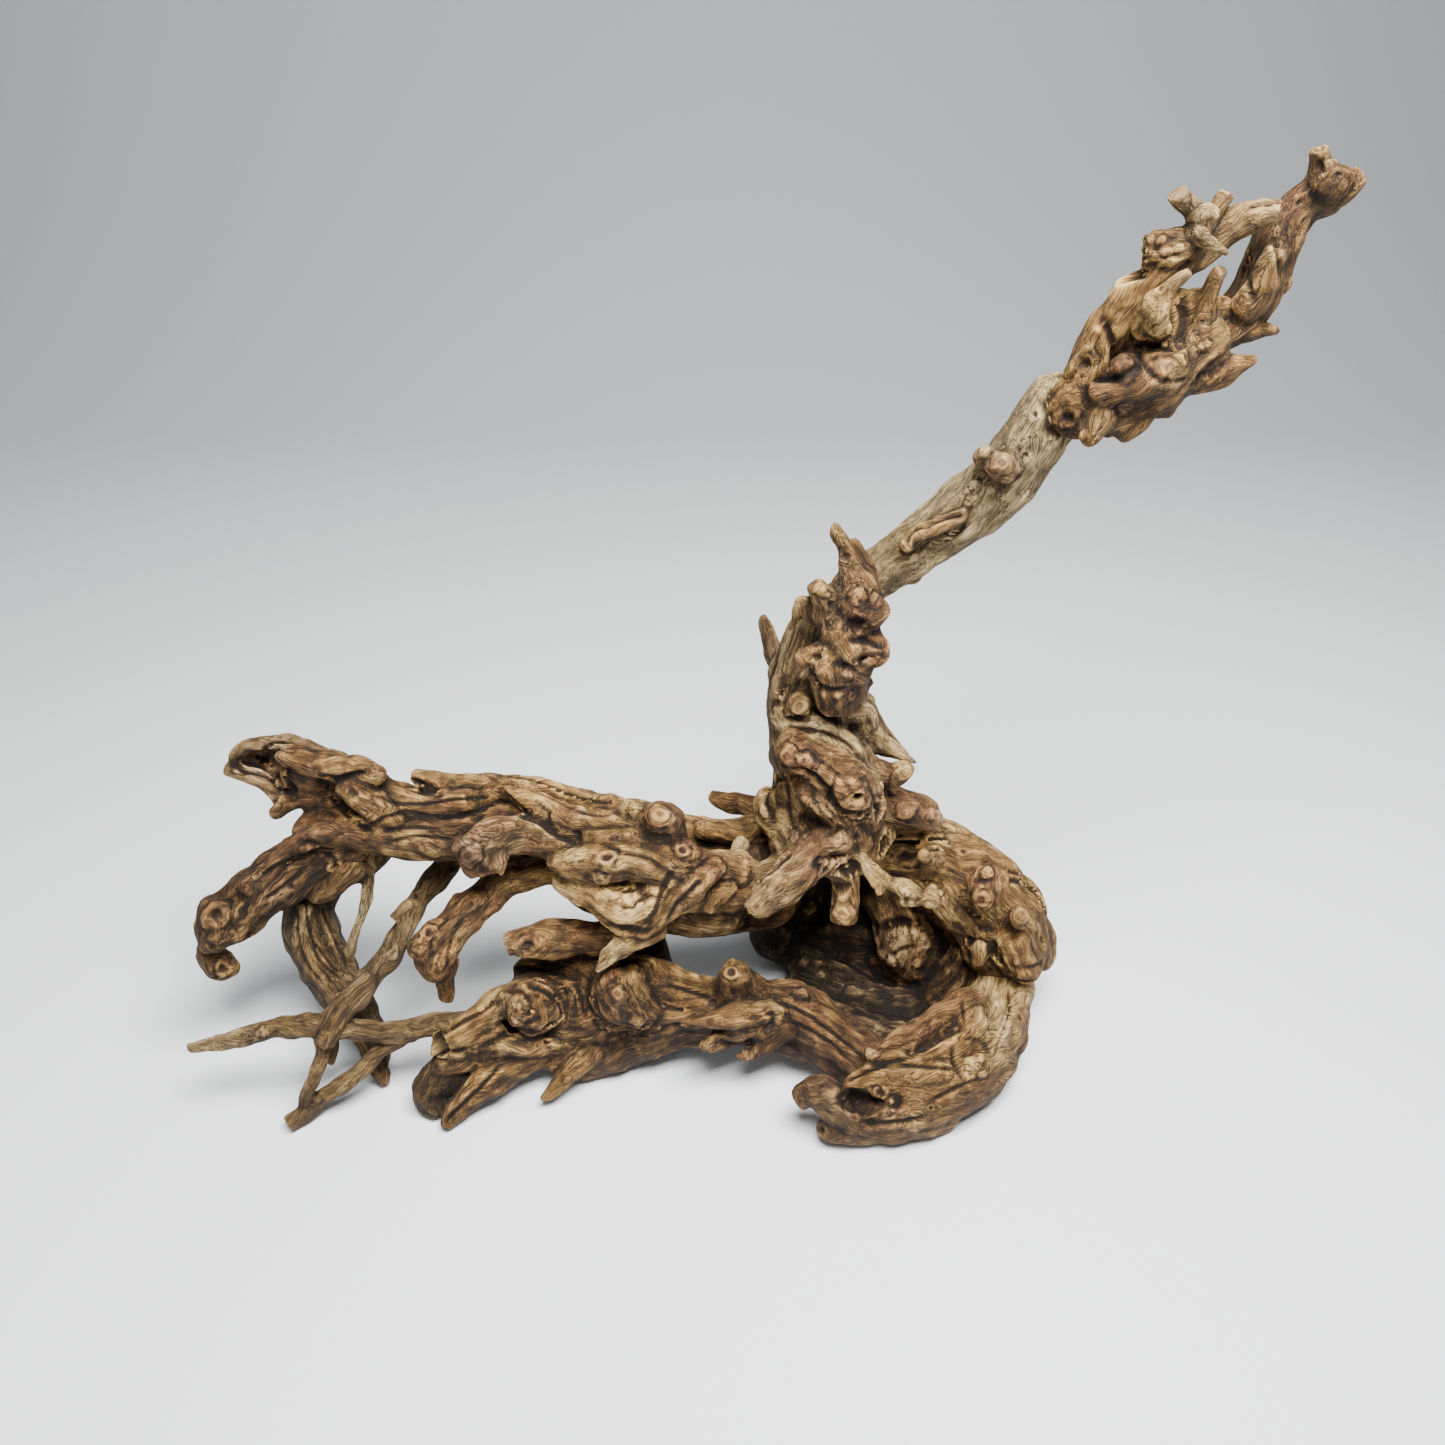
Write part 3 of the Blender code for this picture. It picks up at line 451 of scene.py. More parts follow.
def scatteredKnots(place, settings, dice):
    chances = growth["scatterKinds"]
    spots = dice.randint(0, len(place), settings["count"])
    kinds = dice.choice(list(chances), settings["count"], p=list(chances.values()))
    sizes = dice.uniform(settings["smallest"], settings["largest"], settings["count"])
    return [(*place[spot], size, kind) for spot, size, kind in zip(spots, sizes, kinds)]


def sawnEnds(carved, limbs, cuts):
    # flattens the sawn and broken ends; returns where they are, and the radius of the rings there
    mask, rings = np.zeros((2, len(carved)))
    for limb, cut in cuts.items():
        points = np.array(limbs[limb], float)
        tip, inner = (points[0], points[1]) if cut.get("start") else (points[-1], points[-2])
        outward = unit(tip[:3] - inner[:3])
        if "lean" in cut:
            outward = unit(outward + np.array(cut["lean"]))
        radius = tip[3]
        offset = carved - tip[:3]
        past = offset @ outward
        aside = np.linalg.norm(offset - past[:, None] * outward, axis=1)
        local = (aside < radius * cutShape["wide"]) & (past > -radius) & (past < radius * cutShape["beyond"])
        rough = noise3(carved / cutShape["roughSize"] + 5) * cut["rough"]
        rough = rough - np.clip(1 - aside / radius, 0, 1) * cut["dish"]
        beyond = local & (past > rough)
        carved[beyond] -= outward * (past - rough)[beyond][:, None]
        face = np.clip((past + cutShape["edge"]) / cutShape["edge"], 0, 1) * cut.get("pale", cutShape["pale"])
        mask = np.maximum(mask, np.where(local, face, 0))
        rings = np.where(local, aside, rings)
    return mask, rings


def limbBlend(piece, key, usual, limbs, weights):
    # a setting of the limbs, blended where they meet
    values = np.array([piece.get(key, {}).get(name, usual) for name in piece["limbs"]], float)
    values = values.reshape(len(values), -1)
    return sum(values[limbs[:, column]] * weights[:, column:column + 1] for column in range(limbs.shape[1]))


def growPiece(piece):
    # one sub-part of the wood, fused, carved and given its grain
    cell = piece["cell"] * 1.0
    thing = fuseLimbs(piece["node"] + "_wood", piece["limbs"], cell)
    mesh = thing.data
    place = meshArray(mesh.vertices, "co", 3).astype(float) / mm + drawingMiddle
    normal = meshNormals(mesh)
    edges = meshArray(mesh.edges, "vertices", 2, np.int32)
    crease = np.clip(hollowness(place, normal, edges, growth["creasePasses"]), 0, 1)
    place = bentOutOfTrue(meltLimbs(place, normal, edges))
    setPlaces(mesh, place)
    normal = meshNormals(mesh)
    samples = limbSamples(piece["limbs"])
    limbs, picks, weights = nearestLimbs(place, samples, growth["limbsBlended"])

    # knots and grooves where they are drawn, and a few small knots anywhere
    seen, distance = seenPlaces(place)
    sighted, facing = inSight(seen, distance, place, normal)
    knots = drawnKnots(piece.get("knots", {}), seen, distance, sighted, place)
    scatter = piece.get("scatter", growth["scatter"])
    knots += scatteredKnots(place, scatter, np.random.RandomState(piece["seed"]))
    grooves = grooveRelief(seen, distance, sighted, facing, piece.get("grooves", []))
    knotHeight, pushed, rings, inside = knotRelief(place, normal, samples, picks[:, 0], knots)
    wander = growth["ringWander"]
    rings = rings + noise3(place / wander["size"] + 20) * wander["amount"]

    # grain along each vertex's own limbs, thinner on thin ones
    grains = [grainPlace(pushed, samples, *pair) for pair in zip(limbs.T, picks.T)]
    relief = sum(reliefAt(grain) * weight for grain, weight in zip(grains, weights.T))
    thickness = np.clip(samples["radius"][picks[:, 0]] / growth["fullRadius"], growth["thinRelief"], 1.0)
    ruggedness = piece.get("relief", 1.0)
    rugged = growth["rugged"]
    patches = rugged["middle"] + noise3(place / rugged["size"] + 3) * rugged["amount"]
    strength = ruggedness * (1 - 0.5 * inside) * np.clip(patches, rugged["least"], rugged["most"])
    height = relief * strength * thickness
    lumps = sum(noise3(place / size + offset) * tall for size, tall, offset in growth["lumps"])
    height += lumps * thickness * ruggedness + knotHeight * np.clip(thickness * 1.3, 0, 1)
    height += np.cos(rings * 2 * math.pi / growth["ringWidth"]) * growth["ringHeight"] * inside
    height -= np.clip(crease, 0, growth["creaseDepth"]) + grooves
    carved = place + normal * height[:, None]
    cutMask, cutRings = sawnEnds(carved, piece["limbs"], piece.get("cuts", {}))
    carved[:, 2] = np.maximum(carved[:, 2], growth["lowest"])
    setPlaces(mesh, carved - drawingMiddle)

    # what the finish reads
    normal = meshNormals(mesh)
    # the limbs' shade values, among them the painted shade inside the hollow, fade on faces that turn away
    # from the front
    shade = limbBlend(piece, "limbShades", 0.0, limbs, weights)[:, 0]
    shade *= 1 - np.clip(normal[:, 1] * piece.get("paleBehind", 0.0), 0, 1)
    # a piece's own shade value, then painted shade on whatever faces down
    shade += piece.get("shade", 0.0) + np.clip(0.15 - normal[:, 2], 0, 1) * growth["undersideShade"]
    # painted light: whatever faces up is made paler
    shade -= np.clip(normal[:, 2] - 0.45, 0, 1) * growth["paintedTopLight"]
    # painted shade in broad hollows, creases and grooves
    shade += hollowness(carved, normal, edges, growth["broadPasses"]) * hollowShades["broad"]
    shade += crease * hollowShades["crease"] + np.clip(grooves - knotHeight, 0, 3) * hollowShades["groove"]
    fineHollow = hollowness(carved, normal, edges, growth["finePasses"])
    # relief: paler on the grain's ridges, darker with painted shade in fine hollows
    setAttribute(mesh, "relief", np.clip(relief * 0.26 * strength + 0.45 - fineHollow, 0, 1))
    # the hollow attribute carries all the painted shade and painted light above, with the limbs' and pieces'
    # shade values
    setAttribute(mesh, "hollow", np.clip(shade, hollowShades["palest"], hollowShades["darkest"]))
    setAttribute(mesh, "grain", grains[0])
    setAttribute(mesh, "rings", np.where(cutMask > 0, cutRings, rings))
    setAttribute(mesh, "knot", inside)
    setAttribute(mesh, "sawn", cutMask)
    setAttribute(mesh, "tone", limbBlend(piece, "limbTones", piece["tone"], limbs, weights))
    mesh.shade_smooth()
    mesh.materials.clear()
    mesh.materials.append(weatheredWood)
    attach(thing, "root")
    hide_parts(piece["node"])
    print(piece["node"], len(mesh.vertices), "vertices")


# colours of the weathered wood, from the grooves up to the worn ridges
rampStops = (0.0, 0.32, 0.60, 1.0)
woodColours = {
    "brown": [(0.008, 0.004, 0.001), (0.062, 0.029, 0.008), (0.176, 0.086, 0.024), (0.560, 0.315, 0.100)],
    "ochre": [(0.030, 0.014, 0.004), (0.170, 0.088, 0.024), (0.430, 0.245, 0.074), (0.860, 0.570, 0.220)],
    "pale": [(0.035, 0.022, 0.009), (0.175, 0.122, 0.054), (0.430, 0.315, 0.148), (0.800, 0.650, 0.385)],
    "grey": [(0.008, 0.005, 0.002), (0.042, 0.028, 0.012), (0.100, 0.068, 0.030), (0.300, 0.215, 0.105)],
    "red": [(0.008, 0.003, 0.001), (0.057, 0.024, 0.010), (0.146, 0.064, 0.028), (0.410, 0.215, 0.105)],
    "knot": (0.075, 0.036, 0.020),
    "sawnDark": (0.20, 0.115, 0.050),
    "sawnLight": (0.52, 0.37, 0.19),
    "specks": (0.03, 0.017, 0.010),
}


def woodMaterial():
    material = bpy.data.materials.new("weathered wood")
    material.use_nodes = True
    nodes = material.node_tree.nodes
    links = material.node_tree.links
    shader = nodes["Principled BSDF"]

    def attribute(name, output="Fac"):
        node = nodes.new("ShaderNodeAttribute")
        node.attribute_name = name
        return node.outputs[output]

    def feed(socket, value):
        if isinstance(value, (int, float)):
            socket.default_value = value
        elif isinstance(value, tuple):
            socket.default_value = (*value, 1.0)
        else:
            links.new(value, socket)

    def maths(kind, first, second=0.0, clamp=False):
        node = nodes.new("ShaderNodeMath")
        node.operation = kind
        node.use_clamp = clamp
        feed(node.inputs[0], first)
        feed(node.inputs[1], second)
        return node.outputs[0]

    def moved(base, pattern, middle, share, clamp=False):
        # the base, moved by how far the pattern is from its middle
        return maths("ADD", base, maths("MULTIPLY", maths("SUBTRACT", pattern, middle), share), clamp)

    def mix(factor, first, second):
        node = nodes.new("ShaderNodeMix")
        node.data_type = "RGBA"
        for index, value in ((0, factor), (6, first), (7, second)):
            feed(node.inputs[index], value)
        return node.outputs[2]

    def noiseOn(vector, scale, detail, stretch=None):
        if stretch:
            mapping = nodes.new("ShaderNodeMapping")
            mapping.inputs["Scale"].default_value = stretch
            links.new(vector, mapping.inputs["Vector"])
            vector = mapping.outputs[0]
        node = nodes.new("ShaderNodeTexNoise")
        node.inputs["Scale"].default_value = scale
        node.inputs["Detail"].default_value = detail
        node.inputs["Roughness"].default_value = 0.6
        links.new(vector, node.inputs["Vector"])
        return node.outputs[0]

    def ramp(factor, kind):
        node = nodes.new("ShaderNodeValToRGB")
        band = node.color_ramp
        while len(band.elements) < len(rampStops):
            band.elements.new(0.5)
        for element, position, colour in zip(band.elements, rampStops, woodColours[kind]):
            element.position = position
            element.color = (*colour, 1.0)
        links.new(factor, node.inputs[0])
        return node.outputs[0]

    grain = attribute("grain", "Vector")
    knot = attribute("knot")
    rings = attribute("rings")
    tone = nodes.new("ShaderNodeSeparateXYZ")
    links.new(attribute("tone", "Vector"), tone.inputs[0])
    paleTone, greyTone, redTone = tone.outputs
    place = nodes.new("ShaderNodeTexCoord").outputs["Object"]

    # grain lines: broad streaks, fine ones, and thin dark cracks, all along the limb
    streaks = noiseOn(grain, 1.0, 2.0, (0.030, 0.30, 0.30))
    hairlines = noiseOn(grain, 1.0, 3.0, (0.048, 1.55, 1.55))
    crackField = noiseOn(grain, 1.0, 1.0, (0.036, 0.52, 0.52))
    patches = noiseOn(place, 55.0, 3.0)
    broadPatches = noiseOn(place, 21.0, 2.0)
    specks = noiseOn(place, 900.0, 2.0)
    fromCrack = maths("ABSOLUTE", maths("SUBTRACT", crackField, 0.5))
    cracks = maths("SUBTRACT", 1.0, maths("MULTIPLY", fromCrack, 24.0), clamp=True)
    cracks = maths("MULTIPLY", cracks, maths("MULTIPLY", maths("SUBTRACT", patches, 0.38), 5.0, clamp=True))

    # how worn the wood is and where painted shade darkens it, from the grooves up to the ridges: each
    # pattern, its middle and its share
    wearAndShade = [
        (streaks, 0.55, 0.65),
        (hairlines, 0.52, 1.32),
        (patches, 0.5, 0.60),
        # painted shade and painted light, from the hollow attribute
        (attribute("hollow"), 0.0, -0.36),
        (cracks, 0.0, -0.30),
    ]
    level = maths("MULTIPLY", maths("SUBTRACT", attribute("relief"), 0.06), 1.12)
    for pattern, middle, share in wearAndShade:
        level = moved(level, pattern, middle, share)
    ringLines = maths("MULTIPLY", maths("SINE", maths("MULTIPLY", rings, 4.6)), maths("MULTIPLY", knot, 0.09))
    level = maths("ADD", level, ringLines, clamp=True)

    # tones over the brown: what sets each one's share, and how far it follows which patches
    colour = ramp(level, "brown")
    ochreTone = maths("MULTIPLY", redTone, -1.0)
    tones = [
        ("red", redTone, broadPatches, 0.50, 3.4),
        ("ochre", ochreTone, broadPatches, 0.56, -2.6),
        ("pale", paleTone, patches, 0.52, 0.9),
        ("grey", greyTone, patches, 0.5, 0.4),
    ]
    for kind, base, pattern, middle, share in tones:
        colour = mix(moved(base, pattern, middle, share, clamp=True), colour, ramp(level, kind))
    colour = mix(maths("MULTIPLY", knot, 0.22), colour, woodColours["knot"])
    sawnRings = maths("MULTIPLY", maths("ADD", maths("SINE", maths("MULTIPLY", rings, 7.0)), 1.0), 0.5)
    sawnFace = mix(maths("MULTIPLY", sawnRings, hairlines), woodColours["sawnDark"], woodColours["sawnLight"])
    colour = mix(maths("MULTIPLY", attribute("sawn"), 0.8), colour, sawnFace)
    colour = mix(maths("MULTIPLY", maths("SUBTRACT", specks, 0.40), 0.5), colour, woodColours["specks"])
    links.new(colour, shader.inputs["Base Color"])
    links.new(moved(0.66, hairlines, 0.0, 0.26), shader.inputs["Roughness"])
    shader.inputs["Specular IOR Level"].default_value = 0.30

    bumpHeight = moved(hairlines, streaks, 0.0, 0.5)
    for pattern, share in ((specks, 0.12), (cracks, -0.45)):
        bumpHeight = moved(bumpHeight, pattern, 0.0, share)
    bump = nodes.new("ShaderNodeBump")
    bump.inputs["Strength"].default_value = 0.9
    bump.inputs["Distance"].default_value = 0.0016
    links.new(bumpHeight, bump.inputs["Height"])
    links.new(bump.outputs[0], shader.inputs["Normal"])
    return material


weatheredWood = woodMaterial()
print("wood finish made")

# the knotted middle where log, neck and flank meet, with its stubs over the hollow
heart = {
    "node": "heart", "slot": "brown_wood", "cell": 0.9, "seed": 3, "relief": 0.8, "tone": (0.05, 0, 0.1),
    "limbTones": {
        "upper fold": (0.05, 0, 0.3), "zigzag": (0.2, 0, -0.9), "zigzag nub": (0.3, 0, -0.3),
        "zigzag fork": (0.4, 0, -0.3), "hanging stub": (0, 0, 0), "root stub": (0.15, 0, 0.1),
        "socket rim": (0.3, 0, 0), "rear stub": (0, 0.1, 0.1), "left": (0.2, 0, -0.7),
        "shoulder nub": (0.2, 0, 0),
    },
    "limbShades": {"hanging stub": 0.25, "zigzag": 0.05, "lower fold": 0.1},
    "limbs": {
        "core": [(42, 17, 128, 14), (46, 15, 112, 18), (50, 11, 102, 19), (52, 9, 91, 16)],
        "right": [(57, 15, 122, 12), (65, 13, 108, 13), (67, 11, 94, 12), (66, 11, 83, 8)],
        "left": [(26, 9, 122, 4), (27, 7, 112, 6), (35, 5, 107, 10), (41, 3, 96, 11)],
        "back": [(50, 24, 108, 16), (52, 28, 92, 15)],
        "socket rim": [(17, 5, 100, 3.5), (15, -1, 96, 4), (23, -3, 90, 4.5), (33, -3, 94, 5.5),
            (40, -3, 105, 6)],
        "socket floor": [(21, 15, 90, 7), (28, 15, 85, 8), (36, 15, 87, 8)],
        "upper fold": [(33, 3, 148, 7.5), (49, 0, 140, 9.5), (61, -1, 127, 9.5), (68, 3, 112, 7)],
        "lower fold": [(40, -3, 131, 4.5), (50, -4, 123, 5.5), (60, -3, 111, 6), (65, -3, 101, 5)],
        "eye": [(59, -1, 118, 7), (60, -8, 130, 6.5)],
        "root stub": [(55, -5, 109, 8.5), (43, -13, 103, 8.5), (31, -21, 97, 8), (20, -28, 91, 5.5)],
        "root stub bark": [(48, -11, 101, 5.5), (34, -18, 92, 5), (22, -23, 91, 4.5)],
        "root heel": [(48, -15, 106, 5), (45, -17, 101, 3.5), (44, -18, 98, 2)],
        "hanging stub": [(57, -3, 99, 6), (59, -9, 88, 6), (59, -12, 79, 6), (59, -13, 71, 5.5)],
        "short stub": [(55, -9, 99, 5), (54, -14, 95, 4.5)],
        "zigzag": [(62, -5, 101, 4.6), (66, -10, 99, 3.6), (71, -14, 95, 4.4), (76, -15, 94, 2.9),
            (81, -17, 93, 4.8), (86, -18, 90, 2.7), (90, -20, 90, 4.4), (94, -21, 87, 2.4)],
        "zigzag nub": [(82, -17, 91, 3.5), (82, -20, 86, 4)],
        "zigzag fork": [(88, -19, 90, 3), (92, -17, 94, 2.2)],
        "zigzag spur": [(72, -15, 95, 3), (71, -19, 91, 2.2)],
        "shoulder knob": [(72, 13, 128, 6), (66, 9, 134, 5.5), (65, 9, 138, 4)],
        "shoulder nub": [(75, 15, 123, 5), (80, 11, 129, 5), (83, 11, 132, 3.5)],
        "rear stub": [(34, 34, 90, 6), (19, 43, 88, 5.5), (8, 48, 88, 4.5), (3, 50, 89, 3)],
    },
    "knots": {
        "hollow": [(857, 796, 10), (829, 872, 10)],
        "ring": [(852, 800, 20), (842, 913, 11), (930, 908, 6), (787, 758, 12), (822, 812, 9),
            (800, 835, 8), (838, 838, 7), (875, 862, 5), (933, 905, 5)],
        "boss": [(904, 772, 8), (766, 813, 6), (806, 760, 8), (806, 802, 6), (905, 893, 5)],
        "pit": [(907, 905, 8), (766, 788, 7), (764, 850, 17), (858, 838, 5), (893, 877, 4), (918, 898, 4)],
    },
    "grooves": [
        (2.2, 3.4, [(880, 800), (885, 830), (886, 862)]),
        (1.6, 3.2, [(773, 778), (785, 775), (798, 773), (812, 777), (826, 790), (837, 806), (851, 813),
            (868, 815)]),
        (0.8, 0.6, [(787, 779), (789, 806), (794, 827), (806, 842)]),
        (0.8, 0.6, [(812, 790), (818, 806), (830, 820), (846, 832)]),
        (1.4, 2, [(772, 780), (768, 800), (773, 821)]),
        (0.9, 0.7, [(806, 752), (830, 768), (850, 788), (862, 800)]),
        (3, 4.2, [(822, 863), (836, 862), (850, 868)]),
        (1, 1.2, [(793, 851), (771, 871), (751, 886)]),
    ],
    "cuts": {
        "root stub": {"pale": 0.3, "rough": 1.6, "dish": 0, "lean": (-0.2, 0.2, -0.6)},
        "hanging stub": {"pale": 0.3, "rough": 0.9, "dish": 1.6},
        "short stub": {"rough": 0.2, "dish": 0.6},
        "zigzag": {"pale": 0.5, "rough": 0.9, "dish": 0.1},
        "zigzag nub": {"rough": 0.3, "dish": 0.3},
        "rear stub": {"rough": 0.3, "dish": 0.3},
    },
}
growPiece(heart)

# the long leaning log, its scoop at the left end and the broad knotted plate in front
upperLog = {
    "node": "upper_log", "slot": "brown_wood", "cell": 1, "seed": 4, "relief": 0.9, "shade": 0.12,
    "tone": (0, 0, 0),
    "limbTones": {
        "scoop upper lip": (0.25, 0, 0), "scoop lower lip": (0.3, 0, 0), "scoop floor": (0.2, 0.1, 0),
        "spike": (0.3, 0, -0.3), "plate left": (0.1, 0, -0.1), "plate middle": (0.15, 0, -1.3),
        "claw": (0.1, 0, 0.25), "claw tip": (0, 0, 0.3), "brace": (0, 0, 0.3),
        "knot beside it": (0.2, 0, -0.9), "knot on top": (0, 0, 0.3), "belly": (0, 0.5, 0.2),
        "body low": (0, 0.3, 0.2), "middle stub": (0.1, 0, 0.15),
    },
    "limbShades": {
        "swirl lobe": 0.35, "swirl": 0.2, "left nub": 0.1, "plate left": 0.1, "plate middle": -0.4,
        "belly knobs": 0.6, "knot on top": 0.3,
    },
    "limbs": {
        "back strand": [(-166, 19, 123, 7), (-151, 17, 120, 10), (-134, 15, 112, 11), (-115, 15, 104, 11),
            (-94, 15, 111, 11), (-74, 17, 111, 11), (-54, 19, 103, 11), (-34, 21, 93, 12), (-9, 23, 84, 11),
            (16, 23, 84, 10), (38, 21, 89, 13)],
        "front strand": [(-162, 5, 103, 6), (-143, 3, 108, 10), (-121, 3, 105, 11), (-98, 3, 103, 11),
            (-76, 3, 108, 10), (-57, 1, 103, 10), (-37, -1, 94, 12), (-14, -3, 87, 13), (10, -1, 82, 12),
            (33, 5, 82, 14)],
        "under strand": [(-120, 21, 86, 8), (-95, 21, 83, 9), (-67, 21, 77, 9), (-40, 17, 62, 13),
            (-14, 15, 57, 14), (11, 13, 56, 12), (34, 15, 58, 11)],
        "shoulder": [(-162, 19, 125, 7), (-144, 13, 130, 6), (-132, 9, 129, 6), (-126, 7, 122, 6),
            (-112, 5, 117, 6), (-92, 5, 120, 5.5)],
        "top stub": [(-117, 17, 123, 3.5), (-112, 16, 122, 5), (-102, 15, 119, 6), (-86, 15, 117, 6),
            (-66, 17, 116, 6), (-46, 19, 106, 5)],
        "top ridge": [(-80, 5, 125, 3), (-71, 1, 124, 4), (-55, -1, 118, 5), (-39, -3, 114, 5),
            (-20, -3, 110, 4)],
        "scoop upper lip": [(-190, 21, 129, 3), (-180, 25, 133, 4), (-167, 25, 133, 4.5),
            (-155, 23, 127, 5.5), (-143, 19, 122, 7)],
        "scoop lower lip": [(-193, 19, 125, 3), (-183, 19, 121, 4), (-173, 19, 114, 4.5),
            (-160, 19, 111, 6), (-146, 17, 111, 7)],
        "scoop back": [(-192, 30, 120, 4), (-181, 32, 118, 6), (-164, 30, 114, 8)],
        "scoop floor": [(-189, 29, 125, 3.5), (-178, 32, 125, 5), (-165, 31, 123, 7), (-150, 24, 120, 8)],
        "scoop stub": [(-169, 15, 134, 3), (-162, 15, 132, 4.5), (-152, 15, 128, 6)],
        "left nub": [(-175, 11, 108, 3), (-167, 11, 113, 4), (-158, 11, 116, 5), (-147, 9, 117, 6)],
        "swirl": [(-149, 5, 134, 4.5), (-141, 2, 138, 5), (-132, 2, 138, 5), (-124, 4, 132, 4.5)],
        "swirl lobe": [(-139, -1, 131, 4.5), (-131, -2, 126, 5.5), (-124, -1, 118, 5.5), (-119, 0, 110, 4)],
        "claw": [(-46, -5, 104, 6), (-60, -7, 110, 7), (-73, -9, 114, 8), (-84, -12, 113, 8),
            (-88, -14, 105, 7.5), (-86, -15, 99, 5)],
        "claw tip": [(-78, -13, 117, 5), (-87, -15, 116, 4), (-96, -16, 112, 2.5)],
        "claw lip": [(-77, -13, 113, 5), (-80, -15, 104, 4.5), (-81, -16, 99, 3)],
        "plate left": [(-59, -15, 103, 3), (-51, -16, 104, 6), (-39, -16, 105, 8), (-23, -15, 105, 8),
            (-8, -12, 99, 9)],
        "plate top": [(-43, -9, 111, 4), (-32, -11, 111, 5), (-18, -11, 106, 6), (0, -9, 97, 7),
            (16, -5, 94, 8)],
        "plate middle": [(-56, -13, 93, 5), (-44, -15, 90, 8), (-32, -17, 86, 10), (-20, -15, 87, 11),
            (-4, -11, 88, 10)],
        "plate lip": [(-42, -21, 86, 3), (-35, -22, 80, 4), (-24, -21, 77, 4.5), (-15, -19, 78, 4)],
        "brace": [(8, -16, 103, 5), (-1, -20, 97, 5), (-9, -23, 90, 5), (-18, -24, 80, 4),
            (-22, -24, 76, 3)],
        "spike": [(-15, -17, 72, 5), (-26, -22, 71, 5), (-34, -26, 68, 4.5), (-39, -28, 64, 3.5),
            (-42, -29, 60, 2)],
        "middle stub": [(-26, -1, 56, 8), (-42, -7, 58, 7.5), (-58, -13, 64, 7), (-70, -16, 65, 6.5),
            (-79, -18, 63, 5)],
        "middle stub root": [(-42, -11, 55, 4), (-58, -16, 59, 4), (-73, -20, 62, 4)],
        "belly": [(-18, 5, 64, 11), (2, 1, 65, 12), (13, -1, 66, 10)],
        "belly knobs": [(3, -16, 82, 4), (8, -17, 90, 3.6), (14, -17, 94, 2.2)],
        "knot on top": [(-15, 5, 100, 10), (-15, -2, 112, 9.5), (-15, -7, 120, 7)],
        "knot beside it": [(-20, 7, 106, 6.5), (-25, 3, 115, 6.5), (-29, 1, 120, 5)],
        "knot below it": [(-4, -5, 97, 6), (-6, -12, 108, 5.5)],
        "saddle": [(0, 15, 98, 5), (14, 15, 94, 5), (29, 15, 94, 5)],
    },
    "knots": {
        "pit": [(343, 807, 6), (352, 792, 6), (432, 788, 8), (505, 797, 6), (613, 838, 5), (719, 855, 7),
            (764, 850, 16), (527, 946, 10)],
        "ring": [(372, 817, 6), (468, 855, 13), (660, 815, 15), (600, 880, 9)],
        "hollow": [(275, 803, 9), (608, 858, 9), (683, 851, 8)],
        "boss": [(578, 808, 6), (628, 835, 4), (630, 897, 8), (540, 815, 7)],
    },
    "grooves": [
        (4.2, 2.6, [(236, 771), (252, 768), (268, 770), (282, 779)]),
        (1.6, 2.6, [(268, 749), (280, 745), (292, 748)]),
        (2.2, 3, [(279, 783), (287, 788), (291, 797)]),
        (1.3, 2, [(319, 777), (335, 779), (352, 776), (368, 772)]),
        (1.2, 1.6, [(330, 785), (332, 797), (343, 808), (356, 822), (372, 832)]),
        (0.8, 0.8, [(380, 795), (395, 803), (420, 804), (445, 801), (470, 798), (495, 797)]),
        (0.9, 0.9, [(372, 824), (400, 813), (430, 816), (452, 818), (475, 812), (497, 803)]),
        (0.8, 0.8, [(388, 842), (420, 836), (450, 839)]),
        (0.8, 0.7, [(380, 833), (410, 827), (440, 829)]),
        (2.2, 3, [(413, 784), (424, 789), (436, 792)]),
        (1.4, 2.4, [(500, 786), (507, 799), (522, 813), (542, 822), (560, 836), (576, 842)]),
        (0.9, 0.9, [(500, 775), (530, 779), (560, 791), (590, 800), (620, 803)]),
        (0.9, 0.9, [(522, 784), (550, 796), (580, 811), (608, 815)]),
        (1, 0.8, [(604, 844), (625, 853), (645, 857), (660, 866), (671, 871)]),
        (3.6, 1, [(622, 885), (640, 894), (652, 903)]),
        (1.2, 1.6, [(673, 870), (662, 890), (655, 910), (648, 922)]),
        (1.2, 1.1, [(602, 924), (620, 928), (640, 932), (655, 929)]),
        (1.2, 1.4, [(702, 878), (690, 891), (676, 906), (666, 925)]),
    ],
    "cuts": {
        "claw": {"rough": 0.6, "dish": 0.4},
        "middle stub": {"rough": 0.3, "dish": 0.5},
        "spike": {"pale": 0.7, "rough": 0.4, "dish": 0.2},
        "top stub": {"start": True, "rough": 0.4, "dish": 0.4},
    },
}
growPiece(upperLog)

